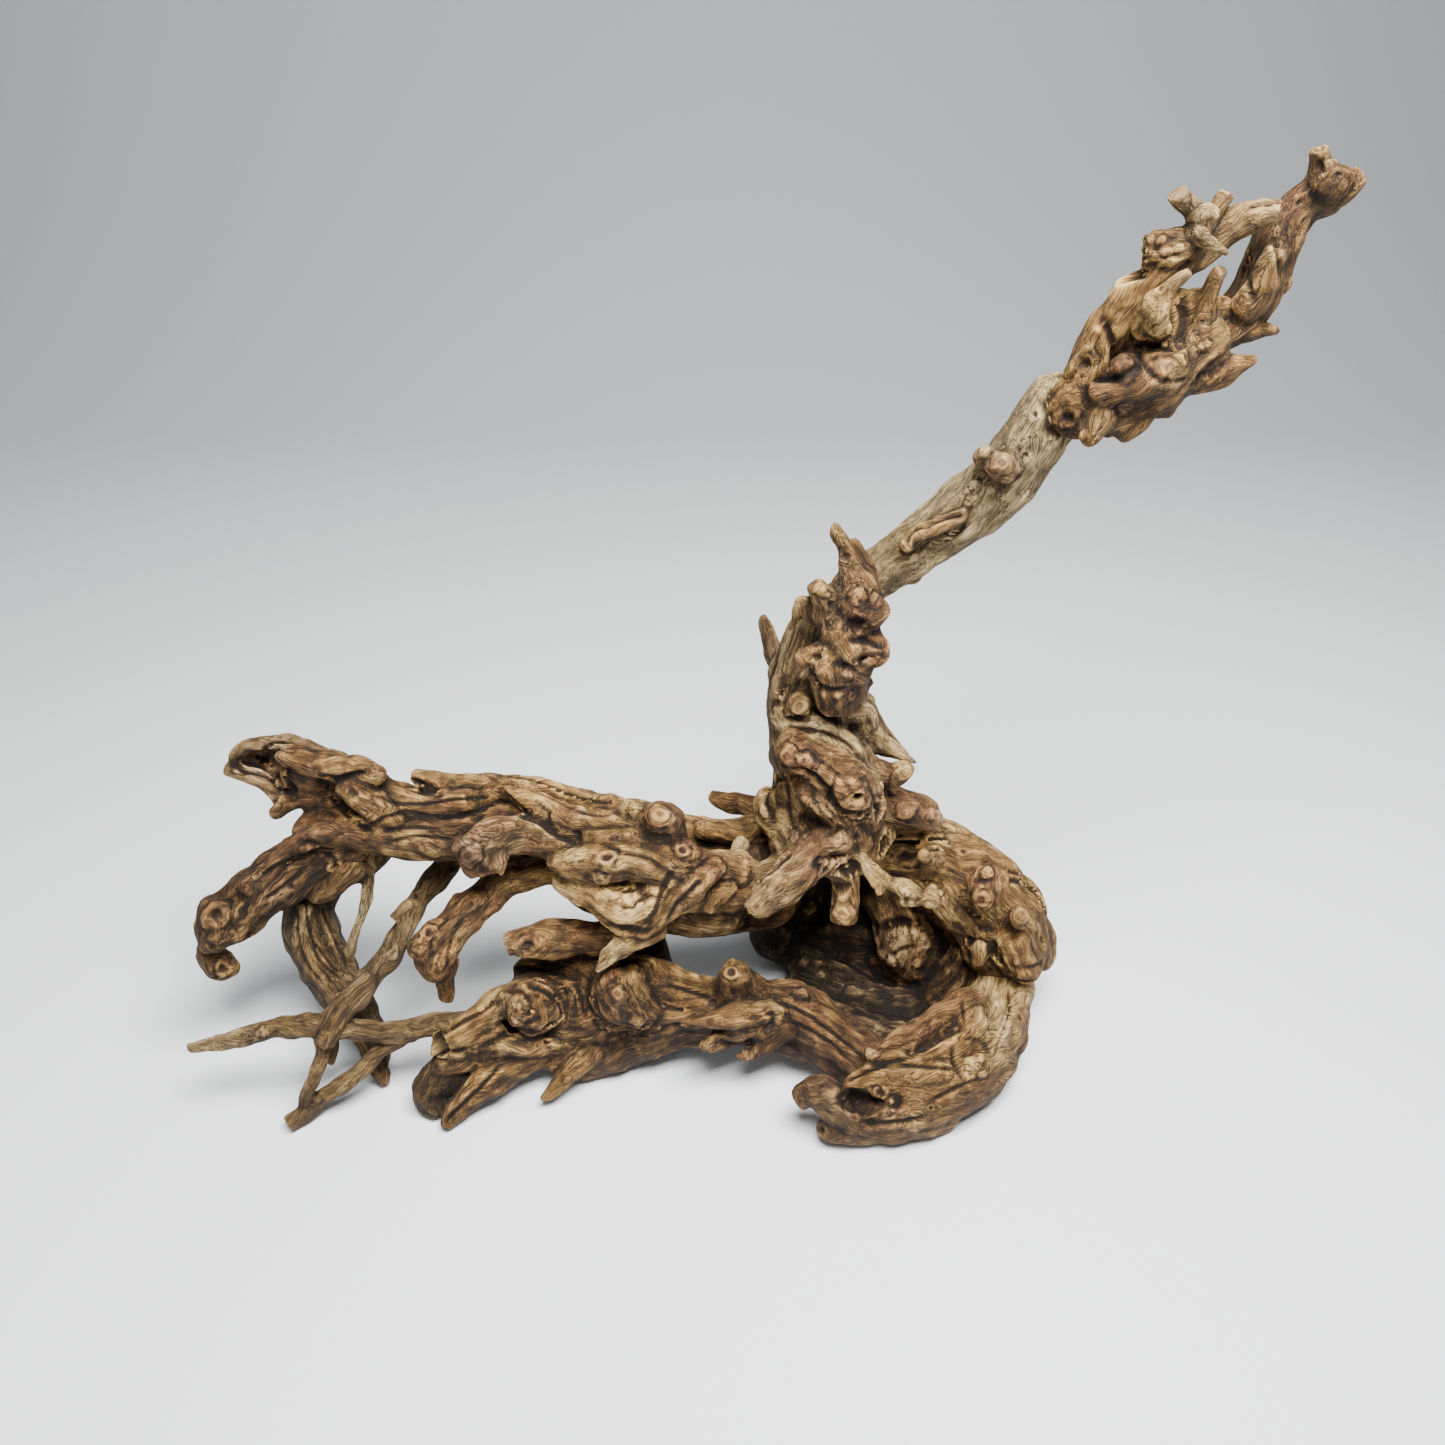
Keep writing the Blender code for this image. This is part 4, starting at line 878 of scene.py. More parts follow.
# the thick log along the ground, with its eyes, prongs and spikes
lowLog = {
    "node": "low_log", "slot": "brown_wood", "cell": 0.9, "seed": 5, "shade": 0.4, "tone": (0, 0, 0.05),
    "limbTones": {
        "upper prong": (0.1, 0, -0.8), "big eye": (0, 0, 0.25), "round knob": (0, 0, 0.25),
        "stump": (0, 0.5, 0), "base": (0, 0.25, 0.1), "low lobe": (0.1, 0, -0.2),
    },
    "limbShades": {"stump": 0.5},
    "limbs": {
        "core": [(-83, -18, 26, 11), (-67, -15, 26, 16), (-48, -15, 26, 18), (-30, -13, 27, 16),
            (-9, -19, 29, 12), (12, -21, 30, 12), (33, -21, 29, 12), (51, -28, 25, 12), (64, -39, 21, 12),
            (74, -48, 20, 11)],
        "top": [(-77, -8, 38, 6), (-60, -7, 40, 7), (-43, -11, 40, 8), (-26, -12, 42, 9), (-15, -17, 40, 8),
            (2, -19, 38, 6), (25, -20, 36, 7), (42, -19, 33, 8), (57, -28, 28, 7)],
        "base": [(-77, -26, 16, 8), (-55, -28, 11, 11), (-35, -24, 11, 11), (-9, -23, 20, 8),
            (16, -26, 24, 8), (42, -27, 18, 8), (58, -37, 14, 8)],
        "bridge": [(-27, 10, 50, 10), (-25, 9, 36, 10), (-24, 5, 24, 12), (-23, 1, 12, 12)],
        "bridge left": [(-46, 8, 46, 7), (-48, 7, 37, 8), (-47, 3, 26, 11)],
        "upper prong": [(-68, -15, 37, 7), (-81, -25, 39, 7), (-91, -33, 37, 6.5), (-99, -39, 34, 5),
            (-103, -41, 33, 3)],
        "middle prong": [(-83, -33, 28, 6.5), (-97, -39, 28, 6), (-109, -41, 31, 5)],
        "lower prong": [(-85, -37, 23, 5), (-98, -42, 21, 4), (-107, -44, 21, 3.5)],
        "stump": [(-92, -27, 20, 8), (-104, -38, 14, 8.5), (-110, -45, 12, 8.5), (-111, -49, 8, 7.5),
            (-108, -53, 5, 5)],
        "fang": [(-65, -29, 20, 8), (-80, -39, 15, 7.5), (-91, -47, 11, 6.6), (-99, -54, 7, 4.8),
            (-104, -60, 4, 2.4)],
        "small fang": [(-46, -32, 16, 5.5), (-56, -41, 11, 5), (-62, -45, 7, 3.5), (-66, -48, 4, 2)],
        "low lobe": [(-53, -29, 17, 5), (-67, -35, 23, 4.5), (-79, -39, 26, 4.5), (-84, -40, 25, 3)],
        "big eye": [(-66, -26, 37, 12), (-71, -32, 40, 11)],
        "round knob": [(-34, -20, 43, 12), (-33, -27, 44, 12), (-26, -28, 37, 9), (-24, -27, 33, 7)],
        "holed stub": [(12, -19, 35, 8), (14, -23, 49, 7), (14, -25, 56, 6)],
        "holed stub tip": [(23, -21, 41, 6), (20, -23, 51, 4), (18, -24, 59, 2)],
        "upper jaw": [(31, -29, 35, 6), (16, -33, 38, 5.5), (4, -36, 40, 4), (-6, -37, 39, 2)],
        "lower jaw": [(29, -31, 31, 6), (15, -35, 30, 5), (5, -38, 27, 4), (1, -39, 27, 2.5)],
        "jaw stub": [(35, -31, 30, 6), (28, -35, 25, 5), (20, -38, 20, 3.5), (15, -39, 19, 2)],
    },
    "knots": {
        "ring": [(516, 1012, 17), (617, 993, 9), (636, 1022, 7)],
        "pit": [(527, 1013, 5), (765, 1030, 5), (493, 1003, 5), (715, 1003, 6), (541, 1038, 6)],
        "hollow": [(730, 972, 9)],
        "boss": [(700, 1045, 7), (742, 1055, 9), (802, 993, 7)],
    },
    "grooves": [
        (1.3, 1.6, [(522, 984), (545, 990), (562, 1004), (561, 1020), (546, 1031), (549, 1046)]),
        (1.1, 1.2, [(482, 986), (502, 980), (530, 978), (555, 985), (572, 996)]),
        (1.4, 1.8, [(593, 990), (594, 1010), (600, 1026)]),
        (0.8, 0.9, [(515, 975), (545, 978), (572, 992), (576, 1012)]),
        (0.8, 0.9, [(508, 968), (540, 970), (580, 980)]),
        (1.6, 2.2, [(601, 1026), (620, 1029), (640, 1031), (650, 1025)]),
        (1, 1.2, [(576, 984), (581, 1000), (586, 1016)]),
        (1.5, 1.8, [(481, 1050), (500, 1036), (520, 1031), (537, 1036)]),
        (1.2, 1.4, [(495, 1002), (480, 1013), (465, 1021), (446, 1031)]),
        (1.6, 2.4, [(470, 1051), (450, 1053), (431, 1049)]),
        (1, 1.2, [(500, 1066), (481, 1086), (461, 1106), (446, 1120)]),
        (1, 1.1, [(660, 985), (690, 991), (714, 1001)]),
        (1, 1.1, [(660, 1006), (690, 1011), (704, 1012)]),
        (1.2, 1.5, [(650, 1031), (680, 1026), (694, 1030)]),
        (1.4, 1.8, [(718, 1041), (740, 1048), (756, 1040)]),
        (1.6, 2, [(768, 1009), (774, 1020), (768, 1033)]),
        (1, 1.1, [(775, 1001), (800, 1011), (830, 1030), (850, 1046), (866, 1061)]),
        (1, 1.1, [(790, 1021), (820, 1036), (845, 1056)]),
    ],
    "cuts": {
        "upper prong": {"rough": 0.5, "dish": 0.4},
        "middle prong": {"pale": 0.1, "rough": 1.2, "dish": 0.4},
    },
}
growPiece(lowLog)

# the pale trunk that rises from the heart, wrapped in dark knotted growth
neck = {
    "node": "neck", "slot": "red_brown_wood", "cell": 0.85, "seed": 6, "shade": 0.16,
    "tone": (0, 0.05, 0.2),
    "limbTones": {
        "trunk": (0.45, 0.2, 0), "side": (0.5, 0, -0.4), "chin": (0.6, 0, -0.4), "splinter": (0.6, 0, -0.3),
        "rear splinter": (0, 0.1, 0.3), "ring knot": (0.2, 0, 0.1), "wrap": (0.4, 0, -0.5),
        "band": (0.5, 0, -0.5), "left lobe": (0.1, 0, 0.1), "hooked nub": (0.2, 0, -0.5),
        "side stub": (0.1, 0.3, 0), "low fold": (0.35, 0, -0.2),
    },
    "limbs": {
        "trunk": [(46, 21, 124, 17), (43, 23, 134, 16), (41, 25, 147, 14), (40, 27, 160, 13),
            (42, 29, 172, 12), (48, 31, 186, 11), (57, 32, 196, 10), (66, 33, 204, 10)],
        "band": [(32, 13, 151, 5), (45, 7, 153, 6), (56, 7, 146, 6), (67, 9, 131, 5.5)],
        "low fold": [(38, 9, 135, 7), (40, 7, 145, 7.5), (44, 6, 149, 6.5)],
        "wrap": [(29, 15, 155, 4.5), (39, 7, 149, 5), (55, 4, 140, 6), (68, 5, 126, 5.5)],
        "side": [(61, 21, 154, 8.5), (64, 19, 145, 8), (69, 17, 138, 5.5)],
        "low growth": [(53, 7, 165, 8), (51, 3, 176, 9), (47, 1, 185, 8), (42, 1, 188, 5.5),
            (38, 0, 187, 4)],
        "middle growth": [(57, 7, 169, 7.5), (57, 3, 182, 8), (52, 3, 193, 7), (49, 1, 199, 5)],
        "open snout": [(60, 9, 190, 8), (63, 3, 189, 7), (64, -1, 188, 5.5)],
        "top growth": [(55, 12, 187, 8.5), (56, 10, 199, 10.5), (57, 10, 207, 10), (56, 12, 213, 7.5)],
        "brow": [(61, 5, 201, 6), (65, 4, 204, 5), (65, 5, 207, 3.5)],
        "left lobe": [(52, 8, 196, 6), (48, 8, 202, 6.5), (45, 7, 209, 5.5), (41, 7, 214, 4)],
        "horn": [(60, 15, 206, 6), (57, 14, 215, 5), (52, 13, 224, 3.5), (48, 12, 232, 2.5),
            (47, 12, 234, 1.5)],
        "second horn": [(63, 19, 207, 4.5), (60, 19, 215, 4), (56, 18, 225, 2)],
        "hooked nub": [(49, 13, 194, 4), (41, 11, 200, 3.5), (37, 10, 204, 3), (35, 13, 195, 2),
            (33, 15, 190, 1.5)],
        "side stub": [(36, 31, 158, 5), (33, 35, 163, 4), (29, 39, 169, 4), (27, 42, 175, 3.5),
            (25, 44, 182, 2.5)],
        "ring knot": [(39, 14, 158, 5), (38, 8, 163, 5)],
        "beak": [(58, 9, 170, 3.5), (63, 7, 172, 2.5), (66, 6, 173, 1.5)],
        "chin": [(56, 9, 160, 6), (63, 13, 156, 5), (66, 15, 150, 4.5)],
        "splinter": [(62, 19, 145, 5.5), (65, 19, 141, 5.5), (74, 17, 138, 4.5), (81, 15, 134, 3.5),
            (86, 14, 131, 1.5)],
        "rear splinter": [(64, 24, 148, 6), (67, 25, 144, 6), (74, 25, 137, 5), (80, 24, 131, 3)],
    },
    "knots": {
        "ring": [(785, 758, 8), (803, 758, 9), (799, 705, 12), (836, 622, 9)],
        "boss": [(880, 786, 5), (847, 675, 6), (858, 597, 9), (798, 662, 9), (823, 590, 8), (875, 600, 7)],
        "pit": [(869, 661, 9), (805, 641, 8), (857, 628, 8), (818, 656, 6), (845, 557, 7), (770, 712, 7),
            (833, 605, 6)],
        "hollow": [(852, 696, 5)],
    },
    "grooves": [
        (1.1, 1.4, [(845, 746), (860, 766), (870, 786), (880, 800)]),
        (1.4, 1.7, [(786, 688), (783, 702), (790, 716), (806, 719)]),
        (1.2, 1.5, [(781, 731), (800, 729), (830, 736), (850, 746), (862, 761)]),
        (2, 3.4, [(857, 664), (868, 661), (881, 658)]),
        (1.6, 2.4, [(847, 627), (856, 622), (866, 628)]),
        (1.2, 1.8, [(812, 681), (830, 690), (848, 690)]),
        (1.2, 1.6, [(849, 641), (866, 641), (881, 646)]),
        (1.3, 2, [(838, 664), (851, 668), (860, 676)]),
    ],
    "cuts": {
        "left lobe": {"rough": 0.3, "dish": 0.3},
        "side stub": {"rough": 0.3, "dish": 0.4},
        "splinter": {"rough": 0.2, "dish": 0.1},
        "beak": {"rough": 0.2, "dish": 0.2},
    },
}
growPiece(neck)

# the smooth pale arm that reaches up to the right
arm = {
    "node": "arm", "slot": "pale_wood", "cell": 0.8, "seed": 7, "relief": 0.45, "tone": (0.8, 0, 0),
    "limbTones": {"knot": (0.2, 0, 0), "nub": (0.2, 0, 0), "sliver": (0.1, 0, 0)},
    "limbs": {
        "arm": [(58, 33, 196, 9.5), (69, 33, 207, 10), (86, 32, 221, 11), (96, 30, 230, 11.5),
            (108, 28, 243, 12.5), (114, 27, 253, 12.5), (119, 25, 265, 11.5), (125, 24, 275, 12)],
        "knot": [(106, 15, 253, 6), (103, 12, 256, 5.5)],
        "nub": [(100, 20, 255, 4.5), (99, 17, 257, 4.5), (99, 16, 259, 4)],
        "sliver": [(75, 21, 221, 3), (81, 19, 228, 3.5), (89, 18, 233, 3), (94, 17, 236, 2.5)],
    },
    "knots": {
        "ring": [(1001, 463, 12), (972, 487, 7), (993, 488, 5), (1007, 484, 7), (972, 501, 6),
            (905, 545, 8)],
        "boss": [(984, 450, 9)],
        "pit": [(1025, 455, 5), (1036, 414, 3), (925, 530, 7), (945, 535, 6), (1060, 402, 11),
            (1055, 432, 9)],
    },
    "grooves": [
        (1, 1.8, [(905, 546), (911, 531), (930, 523), (950, 516), (964, 515)]),
        (1, 1.8, [(968, 524), (956, 535), (936, 541), (916, 546)]),
        (1.4, 2, [(1041, 398), (1046, 420), (1051, 440)]),
        (3, 3.6, [(1052, 398), (1056, 412), (1061, 430)]),
    ],
}
growPiece(arm)

# the knotted head of the arm, with two spears that point to the right
crown = {
    "node": "crown", "slot": "red_brown_wood", "cell": 0.8, "seed": 8, "shade": 0.15, "tone": (0, 0, 0.15),
    "limbTones": {
        "pale knot": (0.2, 0, -0.9), "pale limb": (0.3, 0, -0.4), "dark stub": (0, 0.3, 0.1),
        "left lobe": (0, 0, -0.3), "middle lobe": (0, 0, -0.2), "inner web": (0, 0, -0.7),
        "web": (0, 0, -0.6), "long spear": (0, 0, 0.35), "knob": (0, 0.3, 0.1),
    },
    "limbs": {
        "core": [(123, 23, 270, 10), (135, 18, 277, 13), (146, 16, 284, 14.5), (157, 16, 291, 13),
            (166, 17, 297, 10)],
        "low side": [(128, 15, 269, 5.5), (136, 11, 271, 6), (146, 10, 277, 6), (157, 11, 282, 6)],
        "face": [(131, 9, 281, 6), (142, 5, 286, 7), (154, 5, 292, 6.5)],
        "web": [(151, 15, 299, 8.5), (161, 17, 305, 6.5), (172, 20, 306, 3.5)],
        "inner web": [(140, 15, 296, 6.5), (148, 14, 304, 6.5), (156, 15, 308, 5.5)],
        "long spear": [(153, 15, 284, 7), (165, 14, 285, 6), (174, 13, 288, 4.8), (182, 13, 291, 2.4)],
        "short spear": [(172, 21, 298, 7), (181, 21, 299, 5), (187, 21, 299, 3), (191, 21, 297, 2)],
        "pale knot": [(144, 8, 301, 6), (142, 3, 308, 5.2), (141, -1, 312, 5)],
        "pale limb": [(142, 2, 312, 3.6), (146, 0, 317, 2.6), (149, -1, 321, 2)],
        "dark stub": [(161, 13, 302, 4.5), (161, 11, 311, 3.5), (162, 9, 317, 3), (163, 8, 319, 3)],
        "left lobe": [(133, 8, 274, 6), (130, 5, 268, 4.5), (129, 5, 265, 2.5)],
        "middle lobe": [(147, 11, 275, 6), (144, 9, 268, 4), (143, 9, 266, 2.5)],
        "notch lobe": [(155, 13, 279, 5), (155, 11, 273, 3)],
        "knob": [(137, 6, 290, 5.5), (137, 2, 290, 5)],
        "round knob": [(151, 3, 288, 5), (152, 0, 288, 4.5)],
    },
    "knots": {
        "hollow": [(1106, 363, 7), (1160, 290, 6)],
        "ring": [(1125, 369, 13), (1125, 408, 8), (1168, 366, 12), (1202, 322, 9), (1215, 375, 8),
            (1217, 270, 7), (1275, 330, 6)],
        "pit": [(1066, 418, 11), (1072, 436, 7), (1222, 300, 6)],
        "boss": [(1081, 437, 5), (1166, 325, 9), (1206, 345, 6)],
    },
    "grooves": [
        (1.3, 2, [(1086, 376), (1110, 379), (1130, 373), (1141, 362)]),
        (1.2, 1.6, [(1140, 332), (1151, 342), (1175, 346)]),
        (1.6, 2.6, [(1181, 300), (1186, 320), (1181, 341)]),
        (1.1, 0.9, [(1138, 347), (1143, 362), (1161, 381), (1190, 379), (1215, 371)]),
    ],
    "cuts": {
        "pale limb": {"pale": 0.5, "rough": 1.5, "dish": 0.3},
        "dark stub": {"rough": 0.2, "dish": 0.3},
    },
}
growPiece(crown)

# the crown's left prong, with bark at its knee and sawn stubs on top
leftProng = {
    "node": "left_prong", "slot": "brown_wood", "cell": 0.75, "seed": 9, "shade": 0.1,
    "tone": (0.1, 0, 0.2),
    "limbTones": {
        "prong": (0.05, 0, -0.9), "first sawn stub": (0.3, 0, 0), "bridge": (0.3, 0, -0.7),
        "second sawn stub": (0.1, 0, -0.2), "twig": (0.45, 0, 0), "nub": (0.3, 0, 0),
        "bark lump": (0.1, 0, 0),
    },
    "limbs": {
        "prong": [(130, 19, 284, 8), (131, 15, 294, 7.8), (135, 13, 304, 7.2), (139, 12, 313, 6.5),
            (144, 12, 320, 6.5)],
        "bark lump": [(139, 11, 324, 5), (145, 10, 325, 6.5), (152, 11, 326, 5.5)],
        "knee": [(148, 14, 316, 6), (154, 13, 322, 4.5), (155, 11, 329, 4), (152, 10, 333, 3.5)],
        "first sawn stub": [(154, 10, 330, 3), (150, 8, 336, 3), (143, 5, 342, 3.5)],
        "second sawn stub": [(156, 12, 330, 3), (159, 13, 336, 2.5), (161, 14, 340, 3)],
        "nub": [(150, 6, 335, 2.5), (153, 3, 336, 2.5), (155, 2, 335, 2)],
        "twig": [(150, 5, 331, 2.5), (155, 4, 328, 2.5), (160, 3, 326, 2), (162, 3, 324, 1.5)],
        "bridge": [(156, 14, 320, 5), (161, 15, 325, 5), (165, 15, 330, 5.5), (170, 15, 333, 5.5),
            (175, 14, 335, 4.8), (178, 13, 335, 4.4)],
    },
    "knots": {
        "pit": [(1084, 365, 8), (1172, 238, 4), (1156, 250, 5), (1190, 262, 5)],
        "ring": [(1180, 190, 9), (1225, 191, 7), (1277, 206, 6)],
        "boss": [(1150, 240, 5), (1162, 240, 5), (1167, 252, 5), (1145, 255, 5), (1178, 248, 5)],
    },
    "grooves": [
        (1.4, 2.2, [(1102, 322), (1111, 341), (1116, 358)]),
        (1, 1.6, [(1247, 208), (1262, 203), (1276, 202)]),
    ],
    "cuts": {
        "first sawn stub": {"pale": 1, "rough": 0.12, "dish": 0.3},
        "second sawn stub": {"pale": 0.5, "rough": 0.12, "dish": 0.3},
        "bridge": {"pale": 0.5, "rough": 0.12, "dish": 0.3},
        "bark lump": {"start": True, "rough": 1.4, "dish": 0.2, "pale": 0.05},
    },
}
growPiece(leftProng)

# the crown's right prong, which ends in three short lobes
rightProng = {
    "node": "right_prong", "slot": "red_brown_wood", "cell": 0.75, "seed": 10, "shade": 0.3,
    "tone": (0, 0, 0.1),
    "limbTones": {
        "upper lobe": (0.15, 0, -0.7), "bark lobe": (0, 0, 0.2), "outer lobe": (0.1, 0, -0.3),
        "low lobe": (0, 0.5, 0),
    },
    "limbs": {
        "prong": [(163, 19, 294, 8.5), (168, 21, 295, 8.5), (177, 23, 301, 8), (182, 24, 310, 8),
            (184, 25, 318, 8), (185, 25, 326, 7), (189, 25, 333, 7), (195, 25, 339, 7), (198, 25, 343, 6)],
        "side": [(176, 18, 305, 5.5), (180, 16, 314, 5.5), (182, 16, 322, 4.5)],
        "upper lobe": [(193, 24, 341, 4.5), (192, 23, 346, 4), (190, 23, 351, 3.5)],
        "bark lobe": [(195, 21, 341, 6.5), (196, 19, 345, 5.5)],
        "outer lobe": [(195, 25, 337, 5), (202, 24, 340, 4.4), (206, 24, 343, 3.6)],
        "low lobe": [(189, 27, 328, 4.5), (196, 28, 333, 4), (204, 29, 335, 2)],
    },
    "knots": {
        "ring": [(1250, 292, 6), (1268, 249, 6), (1345, 186, 5)],
        "pit": [(1298, 202, 4), (1318, 165, 7), (1340, 174, 5)],
        "boss": [(1330, 164, 6), (1322, 176, 4), (1337, 158, 4), (1285, 285, 6)],
    },
    "grooves": [
        (1, 1.3, [(1250, 251), (1246, 280), (1255, 300)]),
        (1, 1.2, [(1275, 240), (1281, 265), (1284, 288)]),
    ],
    "cuts": {
        "upper lobe": {"rough": 1.1, "dish": 0.2},
        "outer lobe": {"rough": 0.3, "dish": 0.3},
    },
}
growPiece(rightProng)

# the knobbly limb that falls from the heart to the bend on the right
rightFlank = {
    "node": "right_flank", "slot": "brown_wood", "cell": 0.85, "seed": 11, "relief": 0.8, "shade": 0.08,
    "tone": (0.06, 0, 0),
    "limbTones": {
        "ridge": (0.25, 0, -0.4), "knob": (0, 0, 0.3), "nub": (0.1, 0, 0.2), "crest lobe": (0.1, 0, 0.3),
    },
    "limbs": {
        "crest": [(66, 20, 108, 10), (85, 21, 102, 9.5), (95, 19, 102, 7.5)],
        "crest lobe": [(72, 12, 108, 6), (83, 7, 112, 6), (92, 7, 109, 6), (95, 7, 107, 5)],
        "limb": [(64, 24, 84, 14), (74, 27, 79, 14), (89, 29, 76, 15), (105, 25, 71, 16.5),
            (121, 19, 63, 18), (134, 13, 51, 17), (141, 7, 40, 12), (144, 5, 31, 9)],
        "ridge": [(91, 31, 89, 7), (108, 29, 83, 6), (123, 25, 71, 6), (139, 21, 57, 6), (149, 15, 45, 5.5),
            (151, 9, 35, 5), (149, 5, 28, 4.5)],
        "under side": [(94, 17, 68, 8.5), (107, 11, 60, 9), (115, 7, 50, 8.5), (123, 3, 36, 8),
            (132, -1, 31, 6)],
        "lip": [(129, -2, 54, 9), (134, -4, 45, 9.5), (140, -3, 37, 8.5)],
        "inner wall": [(96, 26, 64, 12), (110, 25, 46, 11), (120, 18, 28, 10), (122, 10, 20, 9)],
        "knob": [(117, 1, 85, 7), (117, -3, 79, 7), (118, -3, 73, 5)],
        "nub": [(132, -6, 67, 6), (131, -11, 74, 3.5)],
        "wart": [(97, 7, 88, 6), (93, 3, 93, 4)],
        "drop": [(118, -1, 52, 5), (118, -5, 47, 5), (117, -7, 42, 3)],
    },
    "knots": {
        "ring": [(982, 898, 12), (1021, 916, 12), (936, 816, 8)],
        "boss": [(988, 872, 7), (933, 888, 7), (921, 852, 8), (904, 813, 9), (924, 857, 8)],
        "pit": [(1043, 940, 5), (969, 871, 6), (905, 858, 9)],
    },
    "grooves": [
        (1.6, 2.6, [(963, 946), (975, 937), (989, 941), (993, 955), (988, 966)]),
        (1.1, 1.3, [(1004, 881), (1022, 882), (1040, 896), (1048, 915)]),
        (1.6, 2, [(996, 952), (1002, 972), (1018, 984), (1036, 985)]),
        (1, 0.7, [(1008, 966), (1024, 968), (1040, 964), (1047, 952)]),
        (0.8, 0.9, [(1000, 868), (1020, 876), (1040, 896)]),
        (0.9, 1, [(965, 905), (978, 917), (995, 912)]),
        (2.4, 3.8, [(886, 832), (905, 836), (925, 842), (942, 843)]),
    ],
}
growPiece(rightFlank)

# the heavy bend that turns forward along the ground, with its open front lip
baseBend = {
    "node": "base_bend", "slot": "brown_wood", "cell": 0.9, "seed": 12, "relief": 0.6, "shade": 0.1,
    "tone": (0.03, 0, -0.12),
    "limbTones": {
        "rise": (0.6, 0, -0.9), "inner stick": (0, 0, 0.25), "knob": (0, 0, 0.2), "foot": (0.05, 0.1, 0),
        "toe": (0.15, 0.35, 0), "low toe": (0, 0.5, 0),
    },
    "limbShades": {"toe": 0.3, "low toe": 0.4, "toe nub": 0.3, "rise": -0.8},
    "limbs": {
        "rise": [(130, 13, 44, 11), (132, 9, 32, 12), (133, 2, 22, 13), (127, -11, 19, 14),
            (116, -30, 19, 15)],
        "bend": [(133, -2, 20, 12), (125, -22, 18, 14), (111, -40, 17, 16), (93, -52, 16, 15),
            (76, -57, 16, 14), (65, -58, 15, 11)],
        "foot": [(121, -26, 9, 10), (102, -48, 9, 11), (84, -60, 9, 10), (68, -62, 9, 8.5),
            (56, -63, 8, 7)],
        "inner": [(111, -16, 30, 8), (110, -30, 30, 8.5), (101, -41, 30, 7.5), (82, -47, 30, 6.5),
            (68, -47, 29, 6)],
        "knob": [(112, -37, 26, 7), (112, -44, 23, 7.5), (113, -47, 21, 5)],
        "inner stick": [(114, -20, 36, 6), (98, -31, 36, 5), (84, -40, 35, 5), (71, -45, 33, 4)],
        "upper lip": [(58, -58, 26, 3), (68, -55, 27, 5), (81, -56, 27, 6), (96, -53, 27, 6.5)],
        "lower lip": [(61, -65, 10, 4), (72, -66, 10, 4.5), (84, -64, 11, 5)],
        "toe": [(66, -64, 12, 7), (58, -63, 16, 7.5), (50, -58, 20, 7.5), (43, -57, 21, 6)],
        "low toe": [(62, -63, 9, 6), (53, -64, 8, 6.5), (49, -64, 7, 5.5)],
        "toe nub": [(45, -55, 22, 4.5), (40, -57, 20, 4), (41, -59, 15, 3.2)],
    },
    "knots": {
        "ring": [(975, 1063, 9)],
        "boss": [(982, 1076, 5), (870, 1053, 7)],
        "hollow": [(882, 1092, 7)],
        "pit": [(868, 1107, 14), (855, 1106, 9), (820, 1130, 8), (930, 1041, 7), (942, 1035, 6),
            (919, 1047, 5), (1020, 1018, 4)],
    },
    "grooves": [
        (2.2, 3.8, [(912, 1052), (925, 1045), (940, 1036), (957, 1027)]),
        (0.9, 1, [(870, 1063), (890, 1062), (910, 1058), (935, 1050), (948, 1040)]),
        (1.1, 1.4, [(846, 1081), (865, 1071), (890, 1063)]),
        (3.2, 4.5, [(846, 1098), (868, 1102), (893, 1101)]),
        (0.9, 0.9, [(900, 1064), (930, 1067), (958, 1070)]),
        (0.9, 0.7, [(952, 1046), (953, 1062), (962, 1078), (976, 1086)]),
        (0.8, 0.7, [(1008, 990), (1010, 1010), (1001, 1036), (994, 1056)]),
        (0.8, 0.7, [(962, 1002), (964, 1022), (958, 1042)]),
        (0.9, 0.4, [(955, 1042), (968, 1038), (984, 1044), (992, 1058)]),
        (1, 1.1, [(931, 1101), (960, 1086), (988, 1077)]),
        (1, 1.2, [(862, 1125), (900, 1122), (930, 1117)]),
    ],
}
growPiece(baseBend)

